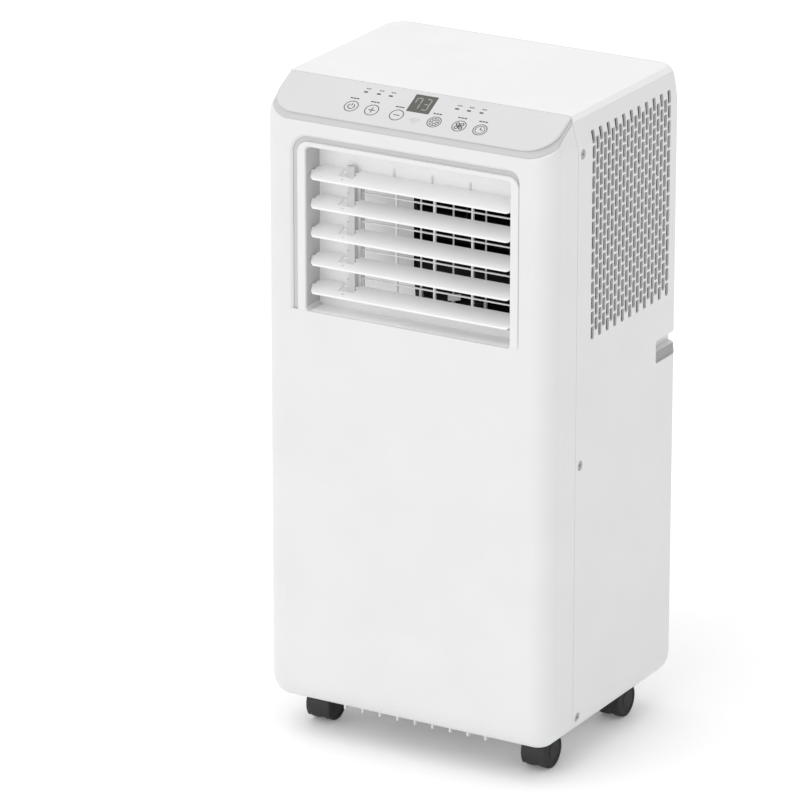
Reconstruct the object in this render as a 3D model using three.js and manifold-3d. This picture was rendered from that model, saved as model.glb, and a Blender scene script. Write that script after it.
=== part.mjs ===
// Portable air conditioner on four twin-wheel casters.
// Millimetres, +Z up, air outlet towards -Y, origin on the floor under the middle of the whole object.
import * as THREE from "three";
import { mergeVertices } from "three/addons/utils/BufferGeometryUtils.js";
import Module from "manifold-3d";

const wasm = await Module();
wasm.setup();

// ---- driving dimensions ----
const WIDTH = 320;
const DEPTH = 262;
const HEIGHT = 675;
const BOTTOM = 38.5;            // underside of the casing
const REAR_PROUD = 9;           // how far the exhaust collar stands out behind the casing
const FRONT = -(DEPTH + REAR_PROUD) / 2;
const BACK = FRONT + DEPTH;
const REAR = BACK + REAR_PROUD;
const HALF = WIDTH / 2;
const WALL = 2.5;
const GAP = 0.3;                // clearance between pieces that meet
const SEAM = FRONT + 52;        // joint line of the front panel and the rear housing

const BOTTOM_ROUND = { across: 15, up: 24 };
const FRONT_RADIUS = 22;
const REAR_RADIUS = 12;
const TOP_TUCK = 5;             // how far each side leans in over the top
const TOP_TUCK_HEIGHT = 38;
const TOP_TUCK_BEND = 23;       // most of it happens over this height

const LID_FRONT = FRONT + 47.7;
const LID_BACK = BACK - 13.7;
const LID_HALF = HALF - TOP_TUCK;
const LID_THICK = 7;

// The sloped control panel: its low front edge, and the rise to the lid.
const PANEL_Y = FRONT + 3.7;
const PANEL_Z = 652;
const PANEL_SLOPE = Math.atan2(HEIGHT - PANEL_Z, LID_FRONT - PANEL_Y);
const PANEL_LENGTH = Math.hypot(HEIGHT - PANEL_Z, LID_FRONT - PANEL_Y) - GAP;
const PANEL_HALF = 155;
const PANEL_LIP = 3.9;          // the panel's lower edge, down the slope from its reference line
const PANEL_THICK = 3.5;
const DISPLAY = { x: [-12, 13.5], y: [20, 45] };   // in the panel's own frame

// The louvre pocket in the front, its blades, and the duct behind it.
const LOUVRE_X = 2;
const FRAME_HALF = 122.5;
const FRAME_Z = [446.7, 621];
const POCKET_HALF = 113;
const POCKET_Z = [449.5, 616];
const POCKET_DEPTH = 27;
const DUCT_X = [-65, 107];
const DUCT_Z = [458, 590];
const BLADE_PITCH = 29;
const BLADE_TOP_Z = 587;
const BLADE_Y = FRONT + 13;
const BLADE_TILT = 20;          // degrees: the rear edge is the high one
const RUNG_DROP = 18.5;         // from a blade's pivot down to the guard's rung behind it
const LOW_RUNG_Z = 471;
const TIE_PIN = 9;              // from a blade's pivot back to its tie-bar pin
const VANE_Y = FRONT + 63;
const VANE_X = [-18, 18, 54];
const VANE_TURN = 30;           // degrees: the vanes blow towards +X
const LINK_PIN = 9;

// The cross-flow fan behind the duct, and the exhaust blower below it.
const FAN_Y = FRONT + 167;
const FAN_Z = 525;
const FAN_RADIUS = 38;
const BLOWER_X = -30;
const BLOWER_Z = 165;
const BLOWER_RADIUS = 62;
const EXHAUST_Z = 335;
const EXHAUST_BORE = 63;

const TRAY_Z = 428;             // partition between the cold and the hot side
const PAN_HALF = 146;
const PAN_Y = [-121, 112];

const CASTER_X = 123;
const CASTER_Y = [FRONT + 45.5, FRONT + 198.5];
const CASTER_TRAIL = 12;
const WHEEL_RADIUS = 18;
const STEM_RADIUS = 4.5;

const SCREW_Y = -73.8;
const SCREW_Z = [634, 319.5, 57];

// ---- materials ----
const material = (color, roughness, metalness = 0) =>
  new THREE.MeshStandardMaterial({ color, roughness, metalness });
const WHITE = material(0xeeeef0, 0.45);
const LIGHT_GREY = material(0xdfdfe1, 0.4);
const BLACK = material(0x1d1d1f, 0.5);
const SMOKED = material(0x2c2e2a, 0.15);
const GREEN = material(0x1f5a38, 0.5);
const MESH_GREY = material(0x6f7275, 0.7);
const FIN_METAL = material(0xb9bdc0, 0.35, 0.9);
const COPPER = material(0xb56a3c, 0.3, 1);
const STEEL = material(0xa9abad, 0.35, 1);
const FOAM_GREY = material(0x8d8f92, 0.8);

// ---- outlines ----
const radians = (degrees) => (degrees * Math.PI) / 180;

function oval(u, v, across, up, from, to, steps = 4) {
  return Array.from({ length: steps + 1 }, (_, i) => {
    const angle = radians(from + ((to - from) * i) / steps);
    return [u + across * Math.cos(angle), v + up * Math.sin(angle)];
  });
}

function arc(u, v, radius, from, to, steps) {
  return oval(u, v, radius, radius, from, to, steps);
}

function circle(u, v, radius, steps = 16) {
  return arc(u, v, radius, 0, 360 - 360 / steps, steps - 1);
}

function rectangle(u0, u1, v0, v1) {
  return [[u0, v0], [u1, v0], [u1, v1], [u0, v1]];
}

function roundedRectangle(u0, u1, v0, v1, low, high = low, steps = 3) {
  return [
    ...arc(u0 + low, v0 + low, low, 180, 270, steps),
    ...arc(u1 - low, v0 + low, low, 270, 360, steps),
    ...arc(u1 - high, v1 - high, high, 0, 90, steps),
    ...arc(u0 + high, v1 - high, high, 90, 180, steps),
  ];
}

// A bent strip: the path, and the same path moved to its right-hand side by the thickness.
function strip(path, thickness) {
  const moved = path.map(([u, v], i) => {
    const [u0, v0] = path[Math.max(i - 1, 0)];
    const [u1, v1] = path[Math.min(i + 1, path.length - 1)];
    const length = Math.hypot(u1 - u0, v1 - v0);
    return [u + (thickness * (v1 - v0)) / length, v - (thickness * (u1 - u0)) / length];
  });
  return [...path, ...moved.reverse()];
}

// ---- solids ----
// Welds a three.js geometry into a solid, and turns it the right way out.
function solid(geometry) {
  const bare = new THREE.BufferGeometry();
  bare.setAttribute("position", geometry.attributes.position);
  if (geometry.index) bare.setIndex(geometry.index);
  const welded = mergeVertices(bare, 1e-4);
  const points = welded.attributes.position.array;
  const faces = [];
  let volume = 0;
  for (let i = 0; i < welded.index.count; i += 3) {
    const [a, b, c] = [0, 1, 2].map((k) => welded.index.getX(i + k));
    if (a === b || b === c || c === a) continue;
    faces.push(a, b, c);
    const [p, q, r] = [a, b, c].map((k) => new THREE.Vector3().fromArray(points, 3 * k));
    volume += p.dot(q.cross(r));
  }
  if (volume < 0) faces.reverse();
  return new wasm.Manifold(new wasm.Mesh({
    numProp: 3,
    vertProperties: Float32Array.from(points),
    triVerts: Uint32Array.from(faces),
  }));
}

// Extrudes an outline along an axis. Its two coordinates are the other two axes in X, Y, Z order.
function prism(outline, axis, low, high) {
  const shape = new THREE.Shape(outline.map(([u, v]) => new THREE.Vector2(u, v)));
  const geometry = new THREE.ExtrudeGeometry(shape, { depth: high - low, bevelEnabled: false });
  const turn = new THREE.Matrix4();
  const [x, y, z] = [new THREE.Vector3(1, 0, 0), new THREE.Vector3(0, 1, 0), new THREE.Vector3(0, 0, 1)];
  if (axis === "x") turn.makeBasis(y, z, x).setPosition(low, 0, 0);
  if (axis === "y") turn.makeBasis(x, z, y.clone().negate()).setPosition(0, high, 0);
  if (axis === "z") turn.setPosition(0, 0, low);
  return solid(geometry.applyMatrix4(turn));
}

function box(x0, x1, y0, y1, z0, z1) {
  const geometry = new THREE.BoxGeometry(x1 - x0, y1 - y0, z1 - z0);
  return solid(geometry.translate((x0 + x1) / 2, (y0 + y1) / 2, (z0 + z1) / 2));
}

const rod = (axis, u, v, radius, low, high, steps = 16) =>
  prism(circle(u, v, radius, steps), axis, low, high);

const ring = (axis, u, v, outer, inner, low, high, steps = 24) =>
  rod(axis, u, v, outer, low, high, steps).subtract(rod(axis, u, v, inner, low - 1, high + 1, steps));

const join = (solids) => solids.reduce((whole, next) => whole.add(next));
const cut = (whole, tools) => tools.reduce((rest, tool) => rest.subtract(tool), whole);
const mirrored = (make) => [make(-1), make(1)];

// A box whose low and high X change places on the -X side.
const sideBox = (side, x0, x1, ...rest) =>
  box(Math.min(side * x0, side * x1), Math.max(side * x0, side * x1), ...rest);

function pipe(points, radius, steps) {
  const path = new THREE.CatmullRomCurve3(points.map((p) => new THREE.Vector3(...p)), false, "centripetal");
  const section = new THREE.Shape(circle(0, 0, radius, 8).map(([u, v]) => new THREE.Vector2(u, v)));
  return solid(new THREE.ExtrudeGeometry(section, { steps, extrudePath: path, bevelEnabled: false }));
}

// ---- the scene graph ----
const model = new THREE.Group();

function add(name, shape, finish, parent = model) {
  const mesh = shape.getMesh();
  const geometry = new THREE.BufferGeometry();
  geometry.setAttribute("position", new THREE.BufferAttribute(mesh.vertProperties, 3));
  geometry.setIndex(new THREE.BufferAttribute(mesh.triVerts, 1));
  geometry.computeVertexNormals();
  const piece = new THREE.Mesh(geometry, finish);
  piece.name = name;
  parent.add(piece);
  return piece;
}

// ---- casing ----
const slopeHeight = (y, drop) =>
  PANEL_Z + (y - PANEL_Y) * Math.tan(PANEL_SLOPE) - drop / Math.cos(PANEL_SLOPE);

// The casing's outer form, inset on every side, with the sloped deck lowered by its own drop.
function casing(inset, drop) {
  const foot = BOTTOM_ROUND.across;
  const low = BOTTOM + BOTTOM_ROUND.up;
  const round = [foot - inset, BOTTOM_ROUND.up - inset];
  const crown = BACK - LID_BACK;
  const shoulder = FRONT + 8.5 + inset;
  const sideView = prism([
    ...oval(FRONT + foot, low, ...round, 180, 270),
    ...oval(BACK - foot, low, ...round, 270, 360),
    ...arc(BACK - crown, HEIGHT - crown, crown - inset, 0, 90),
    [LID_FRONT, HEIGHT - inset],
    [LID_FRONT, slopeHeight(LID_FRONT, Math.max(drop, inset))],
    [shoulder, slopeHeight(shoulder, drop)],
    [FRONT + 2.2 + inset, 644.3 - inset / 2],
    [FRONT + inset, 637 - inset],
  ], "x", -HALF - 1, HALF + 1);
  const tuck = (side) => [
    [side * (HALF - inset), HEIGHT - TOP_TUCK_HEIGHT],
    [side * (HALF - 0.85 * TOP_TUCK - inset), HEIGHT - TOP_TUCK_HEIGHT + TOP_TUCK_BEND],
    [side * (HALF - TOP_TUCK - inset), HEIGHT - inset],
  ];
  const frontView = prism([
    ...oval(-HALF + foot, low, ...round, 180, 270),
    ...oval(HALF - foot, low, ...round, 270, 360),
    ...tuck(1),
    ...tuck(-1).reverse(),
  ], "y", FRONT - 1, BACK + 1);
  const plan = prism([
    ...arc(-HALF + FRONT_RADIUS, FRONT + FRONT_RADIUS, FRONT_RADIUS - inset, 180, 270),
    ...arc(HALF - FRONT_RADIUS, FRONT + FRONT_RADIUS, FRONT_RADIUS - inset, 270, 360),
    ...arc(HALF - REAR_RADIUS, BACK - REAR_RADIUS, REAR_RADIUS - inset, 0, 90),
    ...arc(-HALF + REAR_RADIUS, BACK - REAR_RADIUS, REAR_RADIUS - inset, 90, 180),
  ], "z", 0, HEIGHT + 1);
  return sideView.intersect(frontView).intersect(plan);
}

// Between the object's frame and the control panel's: +Y up the slope, +Z out of it.
const slopeDegrees = (PANEL_SLOPE * 180) / Math.PI;
const intoSlope = (shape) => shape.translate([0, -PANEL_Y, -PANEL_Z]).rotate([-slopeDegrees, 0, 0]);
const outOfSlope = (shape) => shape.rotate([slopeDegrees, 0, 0]).translate([0, PANEL_Y, PANEL_Z]);

const lidSpace = () =>
  box(-HALF - 1, HALF + 1, LID_FRONT - GAP, LID_BACK + GAP, HEIGHT - LID_THICK - GAP, HEIGHT + 2);

const undersideOpening = () => box(-106, 106, -117, 96, BOTTOM - 1, BOTTOM + WALL + 1);

const stemHoles = (radius) => CASTER_Y.flatMap((y) =>
  mirrored((side) => rod("z", side * CASTER_X, y, radius, BOTTOM - 2, BOTTOM + 22, 10)));

// Ears inside the front panel that reach under the rear housing and take the case screws.
function screwEar(side, z) {
  const half = 8;
  const inFront = sideBox(side, 152.5, HALF, -100, SEAM - GAP, z - half, z + half).intersect(casing(0.5, 4.5));
  const under = sideBox(side, 152.5, HALF, -100, SCREW_Y + half, z - half, z + half)
    .intersect(casing(WALL + GAP, 7));
  const [low, high] = side > 0 ? [150, 161] : [-161, -150];
  return inFront.add(under).subtract(rod("x", SCREW_Y, z, 2.3, low, high, 8));
}

function frontPanel() {
  const drop = PANEL_THICK + GAP;
  const shell = casing(0, drop).subtract(casing(WALL, drop + WALL));
  const half = box(-HALF - 1, HALF + 1, FRONT - 1, SEAM - GAP / 2, 0, HEIGHT + 1);
  const window = roundedRectangle(
    LOUVRE_X - FRAME_HALF - GAP, LOUVRE_X + FRAME_HALF + GAP, FRAME_Z[0] - GAP, FRAME_Z[1] + GAP, 12);
  const ears = SCREW_Z.flatMap((z) => mirrored((side) => screwEar(side, z)));
  const { x, y } = DISPLAY;
  const displayHole = outOfSlope(box(x[0], x[1], y[0], y[1], -14, 2));
  return cut(join([shell.intersect(half), ...ears]), [
    prism(window, "y", FRONT - 1, FRONT + 10), lidSpace(), displayHole, undersideOpening(), ...stemHoles(7)]);
}

// Tall slots in columns, cut through a side wall.
function sideSlots(side) {
  const columns = 8;
  const pitch = 20.8;
  const rows = [[439, 542], [547, 649]];
  const [low, high] = side > 0 ? [150, 162] : [-162, -150];
  return Array.from({ length: columns }, (_, i) => i * pitch - 54).flatMap((y) =>
    rows.map(([z0, z1]) => box(low, high, y, y + 11, z0, z1)));
}

const HANDLE = { y: 80, z: [377, 401], depth: 12 };

function handlePocket(side) {
  const [z0, z1] = HANDLE.z;
  return sideBox(side, HALF - HANDLE.depth, HALF + 2, HANDLE.y, BACK + 2, z0, z1);
}

function handleWall(side) {
  const [z0, z1] = HANDLE.z;
  return sideBox(side, HALF - HANDLE.depth - WALL, HALF, HANDLE.y - WALL, BACK, z0 - WALL, z1 + WALL)
    .intersect(casing(0, 0));
}

const FILTER_DOOR = { x: [-130, 92], z: [445, 645] };
const REAR_GRILLE = { x: [-112, 112], z: [84, 250] };
const DRAINS = [{ name: "lower", x: 0, z: 66 }, { name: "upper", x: 110, z: 420 }];
const CORD = { x: 132, z: 110 };

function rearOpening({ x, z }) {
  return box(x[0] - GAP, x[1] + GAP, BACK - 8, BACK + 1, z[0] - GAP, z[1] + GAP);
}

function screwSeats(side) {
  const [face, inner] = side > 0 ? [[HALF - 1.2, HALF + 1], [150, 161]] : [[-HALF - 1, -HALF + 1.2], [-161, -150]];
  return SCREW_Z.flatMap((z) => [
    rod("x", SCREW_Y, z, 5, ...face, 12), rod("x", SCREW_Y, z, 2.3, ...inner, 8)]);
}

function rearHousing() {
  const half = box(-HALF - 1, HALF + 1, SEAM + GAP / 2, BACK + 1, 0, HEIGHT + 1);
  const shell = casing(0, 0).subtract(casing(WALL, WALL)).intersect(half);
  return cut(join([shell, ...mirrored(handleWall)]), [
    lidSpace(), undersideOpening(), ...stemHoles(7),
    ...mirrored(handlePocket), ...mirrored(screwSeats).flat(), ...mirrored(sideSlots).flat(),
    rearOpening(FILTER_DOOR), rearOpening(REAR_GRILLE),
    rod("y", 0, EXHAUST_Z, 67.5, BACK - 8, BACK + 1, 24),
    ...DRAINS.map(({ x, z }) => rod("y", x, z, 7.5, BACK - 8, BACK + 1)),
    rod("y", CORD.x, CORD.z, 6.5, BACK - 8, BACK + 1),
  ]);
}

function caseScrews() {
  SCREW_Z.forEach((z, i) => [["right", 1], ["left", -1]].forEach(([label, side]) => {
    const screw = rod("x", 0, 0, 4.2, -0.45, 0.45, 12).add(rod("x", 0, 0, 1.8, -9, 0, 6));
    const mesh = add(`case_screw_${label}_${i + 1}`, screw, STEEL);
    mesh.position.set(side * (HALF - 0.6), SCREW_Y, z);
    if (side < 0) mesh.rotation.z = Math.PI;
  }));
}

add("front_panel", frontPanel(), WHITE);
add("rear_housing", rearHousing(), WHITE);
add("lid", box(-LID_HALF, LID_HALF, LID_FRONT, LID_BACK, HEIGHT - LID_THICK, HEIGHT), WHITE);
caseScrews();

// ---- control panel, in a group that lies on the slope ----
const slope = new THREE.Group();
slope.position.set(0, PANEL_Y, PANEL_Z);
slope.rotation.x = PANEL_SLOPE;
model.add(slope);

function controlPanel() {
  const corner = 31;
  const [middle, side] = [corner - PANEL_LIP, PANEL_HALF - corner];
  const outline = [
    ...arc(-side, middle, corner, 180, 270), ...arc(side, middle, corner, 270, 360),
    [PANEL_HALF, PANEL_LENGTH], [-PANEL_HALF, PANEL_LENGTH],
  ];
  const { x, y } = DISPLAY;
  return prism(outline, "z", -PANEL_THICK, 0)
    .subtract(box(x[0] - GAP, x[1] + GAP, y[0] - GAP, y[1] + GAP, -PANEL_THICK - 1, 1))
    .subtract(intoSlope(lidSpace()));
}

function controlBoard() {
  const board = box(-92, 92, 6, 46, -12, -10.4);
  const module = box(DISPLAY.x[0] + 1, DISPLAY.x[1] - 1, DISPLAY.y[0] + 1, DISPLAY.y[1] - 1, -10.5, -2);
  return board.add(module);
}

add("control_panel", controlPanel(), LIGHT_GREY, slope);
add("display_lens", box(...DISPLAY.x, ...DISPLAY.y, -1.5, 0), SMOKED, slope);
add("control_board", controlBoard(), GREEN, slope);

// ---- air outlet: frame, blades, guard and vanes ----
function louvreFrame() {
  const tube = (half, z0, z1, radius, y0, y1) =>
    prism(roundedRectangle(LOUVRE_X - half, LOUVRE_X + half, z0, z1, radius), "y", y0, y1);
  const bezel = tube(FRAME_HALF, ...FRAME_Z, 12, FRONT, FRONT + WALL);
  const outside = tube(POCKET_HALF + WALL, POCKET_Z[0] - WALL, POCKET_Z[1] + WALL, 6, FRONT, FRONT + POCKET_DEPTH + WALL);
  const pocket = tube(POCKET_HALF, ...POCKET_Z, 4, FRONT - 1, FRONT + POCKET_DEPTH);
  const mouth = box(...DUCT_X, FRONT, FRONT + 40, ...DUCT_Z);
  const pivots = bladeHeights().map((z) => rod("x", BLADE_Y, z, 2.3, -130, 130, 8));
  return cut(bezel.add(outside), [pocket, mouth, ...pivots]);
}

const bladeHeights = () => Array.from({ length: 5 }, (_, i) => BLADE_TOP_Z - i * BLADE_PITCH);

const LOUVRE_LEFT = LOUVRE_X - POCKET_HALF;
const LOUVRE_RIGHT = LOUVRE_X + POCKET_HALF;
const NOTCH_X = [-80, -64];     // where the tie bar passes behind a blade

// A blade about its pivot, lying flat: +Y is the rear edge.
function louvreBlade() {
  const section = [
    [-11, -0.6], [-5, -1.3], [6, -1.3], [12.5, -0.6], [12.5, 0.6], [6, 1.3], [-5, 1.3], [-11, 0.6]];
  const slab = (y0, y1, x0, x1) => box(x0, x1, y0, y1, -0.8, 0.8);
  return join([
    prism(section, "x", NOTCH_X[1], LOUVRE_RIGHT - 1.5),
    prism(section, "x", LOUVRE_LEFT + 8, NOTCH_X[0]),
    slab(-9, 5, LOUVRE_LEFT + 1.5, LOUVRE_LEFT + 9),
    slab(-10, -2, NOTCH_X[0] - 1, NOTCH_X[1] + 1),
    rod("x", 0, 0, 1.8, LOUVRE_LEFT - 3.2, LOUVRE_LEFT + 8, 8),
    rod("x", 0, 0, 1.8, LOUVRE_RIGHT - 8, LOUVRE_RIGHT + 3.2, 8),
    rod("x", TIE_PIN, 0, 1.2, NOTCH_X[0] + 2, NOTCH_X[1] + 2, 6),
  ]);
}

function tieBar() {
  const reach = 2 * BLADE_PITCH + 8;
  const bar = box(NOTCH_X[0] + 4, NOTCH_X[1] - 4, -3, 3, -reach, reach);
  return cut(bar, [-2, -1, 0, 1, 2].map((k) => rod("x", 0, k * BLADE_PITCH, 1.7, -90, -50, 8)));
}

function louvreMotor() {
  const x = LOUVRE_LEFT - WALL - 0.5;
  return join([
    rod("x", BLADE_Y, bladeHeights()[2], 8, x - 26, x - 3),
    rod("x", BLADE_Y, bladeHeights()[2], 5, x - 4, x - 0.5, 8),
  ]);
}

function outletGuard() {
  const [y0, y1] = [FRONT + POCKET_DEPTH + WALL + GAP, FRONT + POCKET_DEPTH + WALL + GAP + 4];
  const border = box(DUCT_X[0] - 6, DUCT_X[1] + 6, y0, y1, DUCT_Z[0] - 5, DUCT_Z[1] + 6)
    .subtract(box(DUCT_X[0], DUCT_X[1], y0 - 1, y1 + 1, ...DUCT_Z));
  const bars = [-27, 15, 57].map((x) => box(x - 1, x + 1, y0, y1, DUCT_Z[0] - 1, DUCT_Z[1] + 1));
  const rungs = [...bladeHeights().slice(0, 4).map((z) => z - RUNG_DROP), LOW_RUNG_Z]
    .map((z) => box(DUCT_X[0] - 1, DUCT_X[1] + 1, y0, y0 + 2, z - 0.8, z + 0.8));
  return join([border, ...bars, ...rungs]);
}

// A vane about its pivot: +Y is the rear edge. The middle one has the hand tab.
function airVane(hasTab) {
  const [z0, z1] = [DUCT_Z[0] + 8, DUCT_Z[1] - 4];
  const parts = [
    box(-0.9, 0.9, -13, 13, z0, z1),
    rod("z", 0, 0, 2, DUCT_Z[0] - 3, z0 + 2, 8),
    rod("z", 0, 0, 2, z1 - 2, DUCT_Z[1] + 2.5, 8),
    rod("z", 0, LINK_PIN, 1.2, z0 - 6, z0 + 1, 6),
  ];
  if (hasTab) parts.push(box(-0.9, 0.9, -18, -12, z0 + 4, z0 + 10), box(-6, 7, -20, -17, z0 + 4, z0 + 10));
  return join(parts);
}

function vaneLink() {
  const spread = VANE_X[1] - VANE_X[0];
  const bar = box(-spread - 5, spread + 5, -3, 3, -1.5, 1.5);
  return cut(bar, [-1, 0, 1].map((k) => rod("z", k * spread, 0, 1.7, -3, 3, 8)));
}

add("louvre_frame", louvreFrame(), WHITE);
bladeHeights().forEach((z, i) => {
  const blade = add(`louvre_blade_${i + 1}`, louvreBlade(), WHITE);
  blade.position.set(0, BLADE_Y, z);
  blade.rotation.x = radians(BLADE_TILT);
});
const pinReach = [TIE_PIN * Math.cos(radians(BLADE_TILT)), TIE_PIN * Math.sin(radians(BLADE_TILT))];
add("louvre_tie_bar", tieBar(), LIGHT_GREY).position.set(0, BLADE_Y + pinReach[0], bladeHeights()[2] + pinReach[1]);
add("louvre_motor", louvreMotor(), LIGHT_GREY);
add("outlet_guard", outletGuard(), WHITE);
VANE_X.forEach((x, i) => {
  const vane = add(`air_vane_${i + 1}`, airVane(i === 1), WHITE);
  vane.position.set(x, VANE_Y, 0);
  vane.rotation.z = radians(VANE_TURN);
});
add("vane_link", vaneLink(), WHITE).position.set(
  VANE_X[1] - LINK_PIN * Math.sin(radians(VANE_TURN)),
  VANE_Y + LINK_PIN * Math.cos(radians(VANE_TURN)),
  DUCT_Z[0] + 4.5,
);

// ---- cold side: cross-flow fan, coil, filters ----
function fanScroll() {
  const start = FRONT + POCKET_DEPTH + WALL + GAP + 4 + GAP;
  const [x0, x1] = [DUCT_X[0] - 2, DUCT_X[1] + 2];
  const floor = strip([[start, DUCT_Z[0]], [-13, DUCT_Z[0]], ...arc(FAN_Y, FAN_Z, FAN_RADIUS + 6, -115, 30, 9)], 2);
  const roof = strip([[-2, 570], [-40, DUCT_Z[1]], [start, DUCT_Z[1]]], 2);
  const cheek = (x) => box(x, x + 2, start, FAN_Y + FAN_RADIUS + 9, DUCT_Z[0] - 2, DUCT_Z[1] + 2);
  const vanePins = VANE_X.map((x) => rod("z", x, VANE_Y, 2.5, DUCT_Z[0] - 5, DUCT_Z[1] + 5, 8));
  return cut(join([prism(floor, "x", x0, x1), prism(roof, "x", x0, x1), cheek(x0), cheek(x1 - 2)]), [
    ...vanePins,
    rod("x", FAN_Y, FAN_Z, 9, x0 - 1, x0 + 3),
    rod("x", FAN_Y, FAN_Z, 4.5, x1 - 3, x1 + 1),
  ]);
}

// A drum of blades between two discs.
function fanWheel() {
  const [x0, x1] = [DUCT_X[0] + 2, DUCT_X[1] - 2];
  const count = 14;
  const blades = Array.from({ length: count }, (_, i) => {
    const blade = box(x0 + 1, x1 - 1, FAN_RADIUS - 9, FAN_RADIUS - 2, -0.9, 0.9);
    return blade.rotate([(360 / count) * i, 0, 0]);
  });
  return join([
    rod("x", 0, 0, FAN_RADIUS, x0, x0 + 2, 20),
    rod("x", 0, 0, FAN_RADIUS, x1 - 2, x1, 20),
    rod("x", 0, 0, 4, x1 - 1, x1 + 8, 12),
    ...blades,
  ]);
}

function fanMotor() {
  const left = DUCT_X[0] - 2;
  return join([
    rod("x", FAN_Y, FAN_Z, 32, left - 52, left - 1),
    rod("x", FAN_Y, FAN_Z, 7, left - 2, DUCT_X[0] + 1.7, 10),
  ]);
}

function evaporator() {
  const outline = [
    [-147, -45], [-127, -45], [-127, 85], [127, 85], [127, -45], [147, -45], [147, 105], [-147, 105]];
  return prism(outline, "z", 446, 640);
}

// A frame with a thin mesh sheet in it, lying in the plane across an axis.
function filterPanel(u0, u1, v0, v1, axis, low, high) {
  const middle = (low + high) / 2;
  const rim = prism(rectangle(u0, u1, v0, v1), axis, low, high)
    .subtract(prism(rectangle(u0 + 5, u1 - 5, v0 + 5, v1 - 5), axis, low - 1, high + 1));
  return rim.add(prism(rectangle(u0 + 3, u1 - 3, v0 + 3, v1 - 3), axis, middle - 0.5, middle + 0.5));
}

function partitionTray() {
  const tray = box(-150, 150, -128, 118, TRAY_Z, TRAY_Z + 12)
    .subtract(box(-147.5, 147.5, -125.5, 115.5, TRAY_Z + 3, TRAY_Z + 13));
  return tray.subtract(rod("z", 118, -78, 7, TRAY_Z - 1, TRAY_Z + 4));
}

add("fan_scroll", fanScroll(), LIGHT_GREY);
add("fan_wheel", fanWheel(), BLACK).position.set(0, FAN_Y, FAN_Z);
add("fan_motor", fanMotor(), STEEL);
add("evaporator_coil", evaporator(), FIN_METAL);
add("side_filter_left", filterPanel(-60, 108, 441, 655, "x", -153.5, -149.5), MESH_GREY);
add("side_filter_right", filterPanel(-60, 108, 441, 655, "x", 149.5, 153.5), MESH_GREY);
add("partition_tray", partitionTray(), FOAM_GREY);

// ---- hot side: condenser, blower, compressor, electrics ----
function blowerScroll() {
  const volute = (radius, left, right, top) => (y0, y1) => join([
    rod("y", BLOWER_X, BLOWER_Z, radius, y0, y1, 24), box(left, right, y0, y1, BLOWER_Z, top)]);
  const outside = volute(82, BLOWER_X - 82, BLOWER_X + 20, 262);
  const inside = volute(80, BLOWER_X - 80, BLOWER_X + 18, 264);
  return cut(outside(14, 80), [
    inside(16, 78),
    rod("y", BLOWER_X, BLOWER_Z, 52, 76, 82, 20),
    rod("y", BLOWER_X, BLOWER_Z, 10, 12, 18),
  ]);
}

function blowerWheel() {
  const count = 14;
  const blades = Array.from({ length: count }, (_, i) =>
    box(49, 61, 1, 49, -0.9, 0.9).rotate([0, (360 / count) * i, 0]));
  return join([
    rod("y", 0, 0, BLOWER_RADIUS, 0, 2, 20),
    ring("y", 0, 0, BLOWER_RADIUS, 50, 48, 50, 20),
    rod("y", 0, 0, 8, -6, 8, 10),
    ...blades,
  ]);
}

function blowerMotor() {
  return join([
    rod("y", BLOWER_X, BLOWER_Z, 36, -40, 13.7),
    rod("y", BLOWER_X, BLOWER_Z, 4, 13, 17.7, 8),
  ]);
}

function exhaustDuct() {
  const [left, right] = [BLOWER_X - 84, 70];
  const [low, high] = [262 + GAP, 404];
  return cut(box(left, right, 14, 118, low, high), [
    box(left + 2, right - 2, 16, 116, low + 2, high - 2),
    box(BLOWER_X - 80, BLOWER_X + 18, 16, 78, low - 1, low + 3),
    rod("y", 0, EXHAUST_Z, EXHAUST_BORE, 114, 120, 24),
  ]);
}

function exhaustCollar() {
  return ring("y", 0, EXHAUST_Z, 66, EXHAUST_BORE, 118 + GAP, REAR)
    .add(ring("y", 0, EXHAUST_Z, 77, EXHAUST_BORE, BACK + GAP, BACK + GAP + 3));
}

const COMPRESSOR = { x: 92, y: -35, radius: 50, top: 290 };
const STUBS = { suction: [8, -25], discharge: [-12, 20] };

function compressor() {
  const { radius, top } = COMPRESSOR;
  const profile = [[0, 56], [radius - 12, 56], [radius, 66], [radius, top - 22],
    ...arc(radius - 22, top - 22, 22, 0, 90, 3), [0, top]];
  const can = solid(new THREE.LatheGeometry(profile.map(([r, z]) => new THREE.Vector2(r, z)), 20)
    .applyMatrix4(new THREE.Matrix4().makeRotationX(Math.PI / 2)));
  const stubs = Object.values(STUBS).map(([x, y]) => rod("z", x, y, 5, top - 12, top + 6, 8));
  return join([can, box(-50, 50, -40, 45, 50.2, 57), ...stubs]);
}

const stubTop = ([x, y]) => [COMPRESSOR.x + x, COMPRESSOR.y + y, COMPRESSOR.top + 6 + GAP];

function suctionPipe() {
  const [x, y, z] = stubTop(STUBS.suction);
  return pipe([[x, y, z], [x, y, z + 4], [x + 6, y - 6, z + 10], [118, -78, 325], [118, -78, 380],
    [118, -78, 440], [120, -77, 468], [130, -68, 482], [137, -56, 484], [137, -46, 484]], 4.5, 30);
}

function dischargePipe() {
  const [x, y, z] = stubTop(STUBS.discharge);
  return pipe([[x, y, z], [x, y, z + 4], [78, 0, z + 9], [76, 60, z + 9], [76, 92, z + 6],
    [76, 104, z - 12], [76, 104.5, 262], [76, 104.5, 251]], 3.5, 26);
}

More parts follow.
